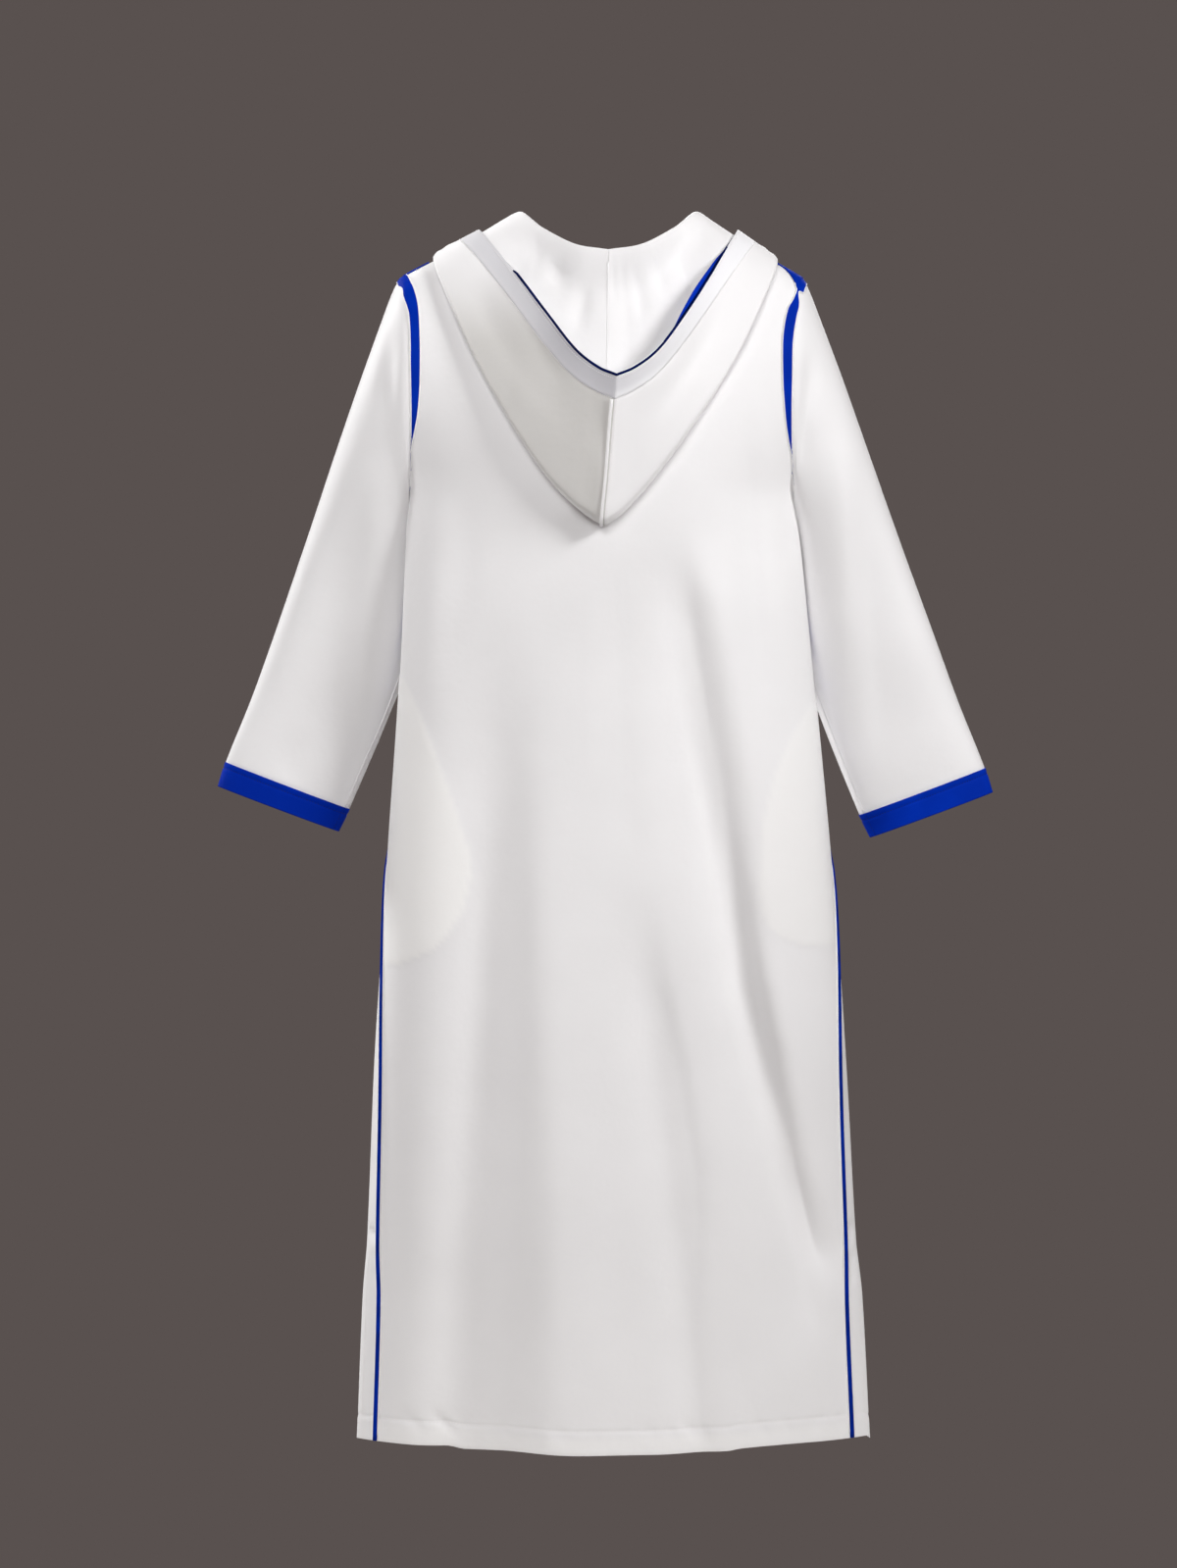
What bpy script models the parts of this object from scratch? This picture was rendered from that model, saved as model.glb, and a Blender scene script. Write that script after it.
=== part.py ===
# A hooded djellaba robe, filled out as it is worn, with blue trim on white cloth.
# Metres, +Z up. The back of the robe faces -Y, and the origin is the centre of the neck's base.
# "drop" is the distance below the origin, and "side" is -1 on the left and +1 on the right.

import bpy
import bmesh
from math import asin, cos, exp, pi, sin
from mathutils import Vector
from mathutils.bvhtree import BVHTree

# Driving sizes

BODY_WALL = 0.0020
HOOD_WALL = 0.0016
CUFF_WALL = 0.0028
STRIP_WALL = 0.0014
SEAM_GAP = 0.0003

NECK_HALF_WIDTH = 0.104
NECK_BACK_DEPTH = 0.062
NECK_BACK_DROP = 0.050
NECK_FRONT_DEPTH = 0.100
NECK_FRONT_DROP = 0.150          # foot of the V
NECK_SIDE_DROP = 0.008
SHOULDER_HALF_WIDTH = 0.2296
SHOULDER_DROP = 0.055
SHOULDER_CURVE = 1.6             # above 1 the shoulder line bends down towards the sleeve
CHEST_DROP = 0.308               # level of the armpits
ARMHOLE_BACK_DEPTH = 0.062
ARMHOLE_FRONT_DEPTH = 0.050
ARMHOLE_HOLLOW = 0.0115          # how far the armhole curves in towards the body
UPPER_BACK_DEPTH = 0.112
NECK_STEEPNESS = 0.75            # 1 drops straight from the neck's edge, 0 leaves it level
SLIT_DROP = 1.154                # top of the side slits
SLIT_FADE = 0.020
SLIT_PARTING = 0.0035            # each flap moves this far from the side line

FOLD_GROWTH = 0.35               # share of its length over which a fold deepens
FOLD_FADE = 0.12                 # and over which it ends
FOLD_RIM = 0.6                   # how much of the cloth pushed in stands up again beside the valley

PIPING_RADIUS = 0.0017
PIPING_START = 0.334             # below the sleeve
PIPING_SINK = 0.0004             # the piping's middle lies this far inside the cloth's outer side
HOOD_PIPING_RADIUS = 0.0012
ARMHOLE_BAND_WIDTH = 0.009
HOOD_BAND_WIDTH = 0.025
HOOD_CLEARANCE = 0.0045          # between the hood's inner layer and the body
HOOD_FOLD_RADIUS = 0.0060
HOOD_RIDGE_RADIUS = 0.0026
HOOD_TURN_LEAD = 0.006           # the cloth lies flat this far before it turns at the fold
HOOD_PUFF = 0.014                # the inner layer stands up this much over the shoulders

# Number of faces

NECK_COLUMNS = 4
SHOULDER_COLUMNS = 7
UPPER_ROWS = 12

# The body's cross-sections: half width, half depth, how pointed the sides are
# (0.5 is an ellipse), and how far the section stands to the right.
BODY = [
    dict(drop=0.308, half_width=0.2215, depth=0.112, power=0.50, lean=-0.0078),
    dict(drop=0.364, half_width=0.2257, depth=0.110, power=0.50, lean=-0.0055),
    dict(drop=0.510, half_width=0.2358, depth=0.108, power=0.50, lean=-0.0015),
    dict(drop=0.700, half_width=0.2514, depth=0.112, power=0.51, lean=0.0010),
    dict(drop=0.812, half_width=0.2604, depth=0.115, power=0.55, lean=0.0022),
    dict(drop=0.950, half_width=0.2695, depth=0.117, power=0.63, lean=0.0025),
    dict(drop=1.154, half_width=0.2793, depth=0.118, power=0.78, lean=0.0040),
    dict(drop=1.215, half_width=0.2850, depth=0.118, power=0.88, lean=0.0050),
    dict(drop=1.378, half_width=0.2925, depth=0.118, power=1.00, lean=0.0060),
]

# Angles from the side line towards the back, in radians, of the piping
# and of the seam between the gore and the front panel.
SIDE_LINES = [
    dict(drop=0.308, piping=-0.018, seam=-0.065),
    dict(drop=0.400, piping=-0.060, seam=-0.180),
    dict(drop=0.550, piping=-0.070, seam=-0.280),
    dict(drop=0.700, piping=-0.040, seam=-0.260),
    dict(drop=0.800, piping=0.130, seam=-0.120),
    dict(drop=0.950, piping=0.272, seam=0.000),
    dict(drop=1.154, piping=0.325, seam=0.000),
    dict(drop=1.215, piping=0.381, seam=0.000),
    dict(drop=1.378, piping=0.392, seam=0.000),
]

# Heights of the rows of faces below the armpits.
LOWER_DROPS = [0.308, 0.352, 0.405, 0.465, 0.530, 0.595, 0.655, 0.710, 0.765, 0.820, 0.880, 0.945,
               1.010, 1.080, 1.154, 1.176, 1.245, 1.315, 1.378]

# The largest folds: valleys that run down the cloth from one place to another.
# "across" is measured from the middle, and the two widths are those of the valley's walls.
BACK_FOLDS = [
    dict(top=0.34, foot=1.30, across_top=0.040, across_foot=0.240, depth=0.013, left=0.050, right=0.026),
    dict(top=0.45, foot=1.60, across_top=-0.125, across_foot=-0.165, depth=0.012, left=0.046, right=0.042),
    dict(top=0.72, foot=1.50, across_top=0.020, across_foot=0.118, depth=0.007, left=0.034, right=0.024),
]
FRONT_FOLDS = [
    dict(top=0.30, foot=1.60, across_top=0.090, across_foot=0.150, depth=0.011, left=0.045, right=0.040),
    dict(top=0.45, foot=1.60, across_top=-0.060, across_foot=-0.130, depth=0.012, left=0.030, right=0.045),
    dict(top=0.70, foot=1.60, across_top=0.010, across_foot=0.012, depth=0.007, left=0.030, right=0.030),
]

# The sleeve's cross-sections: the upper and the under line of the tube, how far forward
# its middle is, and half its depth.
SLEEVE = [
    dict(along=0.000, upper_x=0.2296, upper_drop=0.055, under_x=0.2215, under_drop=0.308,
         forward=0.000, depth=0.062, upper_lean=-0.0078, under_lean=-0.0078),
    dict(along=0.012, upper_x=0.2360, upper_drop=0.065, under_x=0.2285, under_drop=0.3105,
         forward=0.001, depth=0.063, upper_lean=-0.0078, under_lean=-0.0078),
    dict(along=0.036, upper_x=0.2460, upper_drop=0.088, under_x=0.2315, under_drop=0.320,
         forward=0.007, depth=0.066, upper_lean=-0.0078, under_lean=-0.0075),
    dict(along=0.104, upper_x=0.2705, upper_drop=0.152, under_x=0.2295, under_drop=0.341,
         forward=0.024, depth=0.069, upper_lean=-0.0072, under_lean=-0.0066),
    dict(along=0.205, upper_x=0.3050, upper_drop=0.247, under_x=0.2245, under_drop=0.374,
         forward=0.038, depth=0.069, upper_lean=-0.0065, under_lean=-0.0050),
    dict(along=0.318, upper_x=0.3430, upper_drop=0.353, under_x=0.2230, under_drop=0.424,
         forward=0.049, depth=0.065, upper_lean=-0.0050, under_lean=-0.0035),
    dict(along=0.422, upper_x=0.3780, upper_drop=0.451, under_x=0.2265, under_drop=0.487,
         forward=0.054, depth=0.057, upper_lean=-0.0035, under_lean=-0.0020),
    dict(along=0.511, upper_x=0.4085, upper_drop=0.535, under_x=0.2545, under_drop=0.566,
         forward=0.054, depth=0.045, upper_lean=-0.0030, under_lean=-0.0030),
    dict(along=0.591, upper_x=0.4380, upper_drop=0.609, under_x=0.2945, under_drop=0.663,
         forward=0.050, depth=0.033, upper_lean=-0.0030, under_lean=-0.0040),
    dict(along=0.622, upper_x=0.4470, upper_drop=0.638, under_x=0.3075, under_drop=0.690,
         forward=0.049, depth=0.030, upper_lean=-0.0030, under_lean=-0.0040),
]
SLEEVE_LENGTH = 0.622
CUFF_HEIGHT = 0.030
CUFF_LIFT = 0.0008
SLEEVE_ROW_SPREAD = 1.3          # above 1 the rows of faces are closer near the armhole
SLEEVE_ROWS = 12
STRIP_CLEARANCE = 0.0011
STRIP_STARTS = dict(left=0.862, right=0.900)    # shares of the shoulder's half width
STRIP_END = 0.985
STRIP_SPREADS = dict(left=0.005, right=0.050)   # how far down the back they widen, as a share
STRIP_SPREAD_START = 0.01
STRIP_FRONT = 0.03
STRIP_ROWS = 4
CUFF_TILT = 0.0035               # the right cuff hangs this much lower, the left this much higher

# The hood, from the middle of the back (around 0) over the shoulder (around 0.6)
# to the foot of the neck's V (around 1), for one side. The shift moves both sides to the right:
# the pouch's tip hangs a little to the left, and the foot of the face opening to the right.
HOOD_RIDGE = [
    dict(around=0.00, x=0.000, y=-0.076, drop=0.0350, shift=0.0),
    dict(around=0.20, x=0.038, y=-0.068, drop=0.0275, shift=0.0),
    dict(around=0.40, x=0.075, y=-0.042, drop=0.0050, shift=0.0),
    dict(around=0.60, x=0.103, y=0.000, drop=-0.0200, shift=0.0),
    dict(around=0.68, x=0.095, y=0.044, drop=0.0000, shift=0.0),
    dict(around=0.75, x=0.080, y=0.070, drop=0.0270, shift=0.0),
    dict(around=0.88, x=0.046, y=0.100, drop=0.0770, shift=0.0),
    dict(around=1.00, x=0.0035, y=0.112, drop=0.1280, shift=0.0),
]
HOOD_FOLD = [
    dict(around=0.00, x=0.000, y=-0.120, drop=0.3463, shift=-0.0050),
    dict(around=0.08, x=0.022, y=-0.120, drop=0.3320, shift=-0.0060),
    dict(around=0.20, x=0.060, y=-0.120, drop=0.2920, shift=-0.0075),
    dict(around=0.33, x=0.101, y=-0.110, drop=0.2330, shift=-0.0050),
    dict(around=0.46, x=0.144, y=-0.085, drop=0.1600, shift=-0.0035),
    dict(around=0.54, x=0.176, y=-0.050, drop=0.0900, shift=-0.0030),
    dict(around=0.60, x=0.199, y=0.000, drop=0.0300, shift=-0.0025),
    dict(around=0.68, x=0.166, y=0.058, drop=0.0680, shift=0.0),
    dict(around=0.75, x=0.128, y=0.092, drop=0.1120, shift=0.0),
    dict(around=0.88, x=0.068, y=0.112, drop=0.1660, shift=0.0),
    dict(around=1.00, x=0.0035, y=0.120, drop=0.2120, shift=0.0),
]
HOOD_EDGE = [
    dict(around=0.00, x=0.000, y=-0.140, drop=0.1840, shift=0.0085),
    dict(around=0.08, x=0.020, y=-0.137, drop=0.1750, shift=0.0085),
    dict(around=0.20, x=0.046, y=-0.130, drop=0.1540, shift=0.0085),
    dict(around=0.33, x=0.074, y=-0.110, drop=0.1160, shift=0.0080),
    dict(around=0.46, x=0.109, y=-0.077, drop=0.0620, shift=0.0060),
    dict(around=0.54, x=0.131, y=-0.042, drop=0.0250, shift=0.0030),
    dict(around=0.60, x=0.150, y=0.000, drop=-0.0040, shift=0.0),
    dict(around=0.68, x=0.133, y=0.060, drop=0.0200, shift=0.0),
    dict(around=0.75, x=0.106, y=0.092, drop=0.0580, shift=0.0),
    dict(around=0.88, x=0.058, y=0.120, drop=0.1120, shift=0.0),
    dict(around=1.00, x=0.0035, y=0.130, drop=0.1560, shift=0.0),
]
HOOD_STATIONS = [0.0, 0.06, 0.13, 0.20, 0.27, 0.34, 0.41, 0.475, 0.525, 0.565, 0.60, 0.635, 0.68, 0.75,
                 0.83, 0.92, 1.0]

# Where the hood's sections are cut into faces: between which two of their points, and how far.
HOOD_SAMPLES = [(0, 0.0), (1, 0.0), (1, 0.6), (2, 0.0), (3, 0.0), (3, 0.5), (4, 0.0), (4, 0.5), (5, 0.0),
                (6, 0.0), (7, 0.0), (8, 0.0), (8, 0.5), (9, 0.0), (9, 0.5), (10, 0.0), (11, 0.0), (12, 0.0),
                (13, 0.0), (14, 0.0), (14, 0.5), (14, 1.0)]
HOOD_BAND_ROW = 19

# The pocket bags, flat inside the back panel.
POCKETS = [
    dict(side=-1, top=0.520, foot=0.842, width=0.084),
    dict(side=1, top=0.545, foot=0.822, width=0.076),
]
POCKET_WALL = 0.0024
POCKET_ROWS = 8
POCKET_COLUMNS = 3
POCKET_FROM_PIPING = 0.012
POCKET_CLEARANCE = 0.0030        # between a bag and the panel over it
POCKET_MOUTH = 0.28              # width at the ends, as a share of the width

MATERIALS = dict(
    cloth=dict(colour=(0.80, 0.80, 0.79), roughness=0.55),
    trim=dict(colour=(0.004, 0.014, 0.33), roughness=0.45),
)


# Small tools

def smooth_step(value):
    value = min(max(value, 0.0), 1.0)
    return value * value * (3.0 - 2.0 * value)


def read_table(rows, column, value):
    """A row at any value of one column, on a smooth curve through the rows."""
    count = len(rows)
    value = min(max(value, rows[0][column]), rows[-1][column])
    low = 0
    while low < count - 2 and value > rows[low + 1][column]:
        low += 1
    start, end = rows[low], rows[low + 1]
    before, after = rows[max(low - 1, 0)], rows[min(low + 2, count - 1)]
    span = end[column] - start[column]
    part = (value - start[column]) / span
    result = {}
    for name in start:
        slope_start = (end[name] - before[name]) / (end[column] - before[column]) * span
        slope_end = (after[name] - start[name]) / (after[column] - start[column]) * span
        result[name] = ((2 * part ** 3 - 3 * part ** 2 + 1) * start[name]
                        + (part ** 3 - 2 * part ** 2 + part) * slope_start
                        + (3 * part ** 2 - 2 * part ** 3) * end[name]
                        + (part ** 3 - part ** 2) * slope_end)
    return result


def make_material(name):
    finish = MATERIALS[name]
    material = bpy.data.materials.new(name)
    material.use_nodes = True
    shader = material.node_tree.nodes["Principled BSDF"]
    shader.inputs["Base Color"].default_value = (*finish["colour"], 1.0)
    shader.inputs["Roughness"].default_value = finish["roughness"]
    shader.inputs["Metallic"].default_value = 0.0
    return material


def side_name(side):
    return "left" if side < 0 else "right"


# The body's surface

def fold_push(folds, across, drop):
    """How far the folds move the cloth inwards at a place on the body."""
    push = 0.0
    for fold in folds:
        part = (drop - fold["top"]) / (fold["foot"] - fold["top"])
        if part <= 0.0 or part >= 1.0:
            continue
        middle = fold["across_top"] + (fold["across_foot"] - fold["across_top"]) * part
        away = across - middle
        width = fold["left"] if away < 0 else fold["right"]
        swell = smooth_step(part / FOLD_GROWTH) * smooth_step((1.0 - part) / FOLD_FADE)
        offset = (away / width) ** 2
        push += fold["depth"] * swell * (1.0 - FOLD_RIM * offset) * exp(-offset)
    return push


def body_point(angle, drop):
    """Below the armpits. The angle is 0 at the middle of the back and pi / 2 at the right side."""
    row = read_table(BODY, "drop", drop)
    facing = cos(angle)
    x = row["lean"] + row["half_width"] * sin(angle)
    depth = row["depth"] * abs(facing) ** (2.0 * row["power"])
    folds = BACK_FOLDS if facing > 0 else FRONT_FOLDS
    depth -= fold_push(folds, x, drop) * smooth_step(abs(facing) / 0.45)
    parting = SLIT_PARTING * smooth_step((drop - SLIT_DROP) / SLIT_FADE)
    parting *= smooth_step(1.0 - abs(facing) / 0.6)
    y = -depth - parting if facing > 0 else depth + parting
    return Vector((x, y, -drop))


def armhole_point(down, depth, side):
    """The armhole's edge, from the shoulder (down 0) to the armpit (down 1)."""
    width = SHOULDER_HALF_WIDTH + (BODY[0]["half_width"] - SHOULDER_HALF_WIDTH) * down
    width -= ARMHOLE_HOLLOW * sin(pi * down)
    middle = (SHOULDER_DROP + CHEST_DROP) / 2
    reach = (CHEST_DROP - SHOULDER_DROP) / 2
    return Vector((BODY[0]["lean"] + side * width, depth * sin(pi * down), -middle + reach * cos(pi * down)))


def neck_point(part, front):
    """The neck's edge, from its middle (part 0) to the shoulder (part 1)."""
    if front:
        drop = NECK_FRONT_DROP + (NECK_SIDE_DROP - NECK_FRONT_DROP) * part ** 1.15
        y = NECK_FRONT_DEPTH * (1.0 - part ** 2) ** 0.6
    else:
        round_part = (1.0 - part ** 2) ** 0.5
        drop = NECK_SIDE_DROP + (NECK_BACK_DROP - NECK_SIDE_DROP) * round_part
        y = -NECK_BACK_DEPTH * round_part
    return y, drop


def top_line(share, front):
    """The top edge of a panel: the neck, then the shoulder seam out to the armhole."""
    x = abs(share) * SHOULDER_HALF_WIDTH
    if x < NECK_HALF_WIDTH:
        y, drop = neck_point(x / NECK_HALF_WIDTH, front)
        return y, -drop
    part = (x - NECK_HALF_WIDTH) / (SHOULDER_HALF_WIDTH - NECK_HALF_WIDTH)
    return 0.0, -NECK_SIDE_DROP - (SHOULDER_DROP - NECK_SIDE_DROP) * part ** SHOULDER_CURVE


def upper_point(share, down, front):
    """Above the armpits. The share is -1 and 1 at the armholes; down is 0 at the top edge."""
    side = -1 if share < 0 else 1
    facing = 1 if front else -1
    ring = armhole_point(down, facing * (ARMHOLE_FRONT_DEPTH if front else ARMHOLE_BACK_DEPTH), side)
    neck_y, neck_drop = neck_point(0.0, front)
    sunk = (1.0 - cos(pi * down)) / 2
    centre_y = neck_y + facing * (UPPER_BACK_DEPTH - abs(neck_y)) * (1.0 - (1.0 - sunk) ** 2)
    steep = NECK_STEEPNESS * (1.0 - smooth_step((abs(share) - 0.25) / 0.45))
    centre_z = -neck_drop - (CHEST_DROP - neck_drop) * (steep * down + (1.0 - steep) * sunk)
    # Each section is an ellipse that the armhole cuts off at "reach" of its depth.
    reach = abs(ring.y / centre_y)
    section = max(1.0 - (1.0 - reach ** 2) * share ** 2, 0.0) ** 0.5
    crown = (section - reach) / (1.0 - reach)
    edge_y, edge_z = top_line(share, front)
    start_y = neck_y * crown
    start_z = -SHOULDER_DROP + (SHOULDER_DROP - neck_drop) * crown
    y = centre_y * section + (edge_y - start_y) * (1.0 - sin(pi * down / 2)) ** 1.5
    z = ring.z + (centre_z - ring.z) * crown + (edge_z - start_z) * cos(pi * down / 2) ** 2
    lean = BODY[0]["lean"] * (1.0 - (1.0 - down) * (1.0 - abs(share)))
    x = lean + abs(share) * (ring.x - BODY[0]["lean"])
    return Vector((x, y, z))


# Walls

def pull_edges_in(points, distance, tube=False):
    """Shorten a grid of points at its open edges, towards the next points."""
    rows, columns = len(points), len(points[0])
    moved = [[point.copy() for point in row] for row in points]
    for i in range(rows):
        for j in range(columns):
            step = Vector()
            if j == 0 and not tube:
                step += (points[i][1] - points[i][0]).normalized()
            if j == columns - 1 and not tube:
                step += (points[i][-2] - points[i][-1]).normalized()
            if i == 0:
                step += (points[1][j] - points[0][j]).normalized()
            if i == rows - 1:
                step += (points[-2][j] - points[-1][j]).normalized()
            moved[i][j] = points[i][j] + step * distance
    return moved


def make_object(name, mesh, material):
    item = bpy.data.objects.new(name, mesh)
    mesh.materials.append(material)
    bpy.context.scene.collection.objects.link(item)
    return item


def make_wall(name, outer, normals, thickness, material, tube=False):
    """A sheet of cloth with a thickness: a grid of points, and its copy moved inwards."""
    rows, columns = len(outer), len(outer[0])
    bm = bmesh.new()
    layers = []
    for depth in (0.0, thickness):
        layers.append([[bm.verts.new(outer[i][j] - normals[i][j] * depth) for j in range(columns)]
                       for i in range(rows)])
    last = columns if tube else columns - 1
    for layer, flip in zip(layers, (False, True)):
        for i in range(rows - 1):
            for j in range(last):
                k = (j + 1) % columns
                corners = [layer[i][j], layer[i][k], layer[i + 1][k], layer[i + 1][j]]
                bm.faces.new(corners[::-1] if flip else corners)
    outer_layer, inner_layer = layers
    for i in (0, rows - 1):
        for j in range(last):
            k = (j + 1) % columns
            bm.faces.new((outer_layer[i][j], outer_layer[i][k], inner_layer[i][k], inner_layer[i][j]))
    if not tube:
        for j in (0, columns - 1):
            for i in range(rows - 1):
                bm.faces.new((outer_layer[i][j], outer_layer[i + 1][j],
                              inner_layer[i + 1][j], inner_layer[i][j]))
    bmesh.ops.recalc_face_normals(bm, faces=bm.faces)
    mesh = bpy.data.meshes.new(name)
    bm.to_mesh(mesh)
    bm.free()
    mesh.shade_smooth()
    mesh.set_sharp_from_angle(angle=0.7)
    return make_object(name, mesh, material)


def surface_normal(surface, u, v, step_u, step_v, outward):
    """The direction that leaves the cloth at a place on a surface."""
    across = surface(u + step_u[1], v) - surface(u + step_u[0], v)
    along = surface(u, v + step_v[1]) - surface(u, v + step_v[0])
    normal = across.cross(along).normalized()
    return normal if normal.dot(outward) > 0 else -normal


def make_piping(name, centres, radius, material):
    curve = bpy.data.curves.new(name, "CURVE")
    curve.dimensions = "3D"
    curve.bevel_depth = radius
    curve.bevel_resolution = 0
    curve.use_fill_caps = True
    spline = curve.splines.new("POLY")
    spline.points.add(len(centres) - 1)
    for point, centre in zip(spline.points, centres):
        point.co = (*centre, 1.0)
    curve.materials.append(material)
    item = bpy.data.objects.new(name, curve)
    bpy.context.scene.collection.objects.link(item)
    return item


# Front and back

def half_shares():
    """Where the columns of faces meet the top edge, as shares of the shoulder's half width."""
    neck = NECK_HALF_WIDTH / SHOULDER_HALF_WIDTH
    shares = [neck * sin(pi / 2 * i / NECK_COLUMNS) for i in range(NECK_COLUMNS)]
    shares += [neck + (1.0 - neck) * sin(pi / 2 * i / SHOULDER_COLUMNS) for i in range(SHOULDER_COLUMNS)]
    return shares + [1.0]


def side_angle(drop, line, offset=0.0):
    """The angle of a line at the body's right side, moved towards the back by a length along the cloth."""
    angle = pi / 2 - read_table(SIDE_LINES, "drop", drop)[line]
    if offset == 0.0:
        return angle
    step = 0.01 if offset < 0 else -0.01
    here = body_point(angle, drop)
    reach = 0.0
    while True:
        there = body_point(angle + step, drop)
        length = (there - here).length
        if reach + length >= abs(offset):
            return angle + step * (abs(offset) - reach) / length
        reach += length
        angle += step
        here = there


def body_normal(angle, drop):
    """The cloth's outward direction. Beside the slit it is taken from one side only."""
    outward = Vector((sin(angle), -cos(angle), 0.0))
    steps = (-0.02, 0.02)
    if drop > SLIT_DROP and abs(abs(angle) - pi / 2) < 0.02:
        away = -1 if (angle > 0) == (abs(angle) <= pi / 2) else 1
        steps = sorted((0.001 * away, 0.04 * away))
    return surface_normal(body_point, angle, drop, steps, (-0.004, 0.004), outward)


def upper_normal(share, down, front):
    """At a seam both pieces share one direction, so that their edges meet face to face."""
    normal = panel_normal(share, down, front)
    if down < 0.001 and abs(share) > NECK_HALF_WIDTH / SHOULDER_HALF_WIDTH - 0.01:
        normal = (normal + panel_normal(share, down, not front)).normalized()
    if abs(share) > 0.999:
        side = 1 if share > 0 else -1
        normal = (normal + sleeve_normal(-pi * down if front else pi * down, 0.0, side)).normalized()
    return normal


def panel_normal(share, down, front):
    def surface(u, v):
        return upper_point(u, v, front)
    facing = 1.0 if front else -1.0
    step_u = (-0.012, 0.012)
    if share > 0.985:
        step_u = (-0.012, 0.0)
    if share < -0.985:
        step_u = (0.0, 0.012)
    step_v = (0.0, 0.02) if down < 0.02 else (-0.01, 0.01) if down < 0.99 else (-0.02, 0.0)
    outward = Vector((share * 0.8, facing * 0.6, 0.6 * (1.0 - down)))
    normal = surface_normal(surface, share, down, step_u, step_v, outward)
    return normal


def make_panel(name, front, material):
    half = half_shares()
    shares = [-share for share in half[:0:-1]] + half
    points, normals = [], []
    for i in range(UPPER_ROWS):
        down = i / UPPER_ROWS
        points.append([upper_point(share, down, front) for share in shares])
        normals.append([upper_normal(share, down, front) for share in shares])
    for drop in LOWER_DROPS:
        if front:
            last = pi - side_angle(drop, "seam")
        else:
            last = side_angle(drop, "piping", PIPING_RADIUS)
        turns = [last * (2 / pi) * asin(share) for share in shares]
        if front:
            turns = [pi - turn for turn in turns]
        points.append([body_point(turn, drop) for turn in turns])
        normals.append([body_normal(turn, drop) for turn in turns])
    return make_wall(name, pull_edges_in(points, SEAM_GAP), normals, BODY_WALL, material)


def make_gore(side, material):
    points, normals = [], []
    for drop in LOWER_DROPS:
        first = side_angle(drop, "piping", -PIPING_RADIUS)
        last = side_angle(drop, "seam")
        turns = [side * (first + (last - first) * i / 2) for i in range(3)]
        points.append([body_point(turn, drop) for turn in turns])
        normals.append([body_normal(turn, drop) for turn in turns])
    points = pull_edges_in(points, SEAM_GAP)
    return make_wall(f"side_gore_{side_name(side)}", points, normals, BODY_WALL, material)


def make_side_piping(side, material):
    centres = []
    for drop in [PIPING_START] + LOWER_DROPS[1:]:
        angle = side * side_angle(drop, "piping")
        centres.append(body_point(angle, drop) - body_normal(angle, drop) * PIPING_SINK)
    return make_piping(f"side_piping_{side_name(side)}", centres, PIPING_RADIUS, material)


# Sleeves

def sleeve_point(turn, along, side):
    """The turn is 0 on the upper line, and pi on the under line by way of the back."""
    row = read_table(SLEEVE, "along", along)
    upper = Vector((row["upper_x"], 0.0, -row["upper_drop"]))
    under = Vector((row["under_x"], 0.0, -row["under_drop"]))
    point = (upper + under) / 2 + (upper - under) / 2 * cos(turn)
    point.y = row["forward"] - row["depth"] * sin(turn)
    depth = -ARMHOLE_BACK_DEPTH if sin(turn) > 0 else ARMHOLE_FRONT_DEPTH
    down = abs(turn) / pi
    ring = armhole_point(down, depth, 1)
    ring.x -= BODY[0]["lean"]
    first = SLEEVE[0]
    upper = Vector((first["upper_x"], 0.0, -first["upper_drop"]))
    under = Vector((first["under_x"], 0.0, -first["under_drop"]))
    start = (upper + under) / 2 + (upper - under) / 2 * cos(turn)
    start.y = -first["depth"] * sin(turn)
    point += (ring - start) * max(1.0 - along / 0.16, 0.0) ** 2
    lean = row["under_lean"] + (row["upper_lean"] - row["under_lean"]) * (1.0 + cos(turn)) / 2
    tilt = side * CUFF_TILT * smooth_step(along / SLEEVE_LENGTH)
    return Vector((side * point.x + lean, point.y, point.z - tilt))


def sleeve_normal(turn, along, side):
    before = max(along - 0.006, 0.0)
    after = min(along + 0.006, SLEEVE_LENGTH)
    around = sleeve_point(turn + 0.05, along, side) - sleeve_point(turn - 0.05, along, side)
    outwards = sleeve_point(turn, after, side) - sleeve_point(turn, before, side)
    return around.cross(outwards).normalized() * side


def make_sleeve_part(name, side, start, end, rows, thickness, lift, material):
    turns = [pi * i / UPPER_ROWS for i in range(UPPER_ROWS + 1)]
    turns += [-turn for turn in turns[-2:0:-1]]
    points, normals = [], []
    for i in range(rows + 1):
        along = start + (end - start) * (i / rows) ** SLEEVE_ROW_SPREAD
        if along == 0.0:
            normals.append([upper_normal(side, abs(turn) / pi, turn < 0) for turn in turns])
        else:
            normals.append([sleeve_normal(turn, along, side) for turn in turns])
        points.append([sleeve_point(turn, along, side) for turn in turns])
    points = [[point + normal * lift for point, normal in zip(*pair)] for pair in zip(points, normals)]
    points = pull_edges_in(points, SEAM_GAP, tube=True)
    return make_wall(name, points, normals, thickness, material, tube=True)


# Hood

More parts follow.
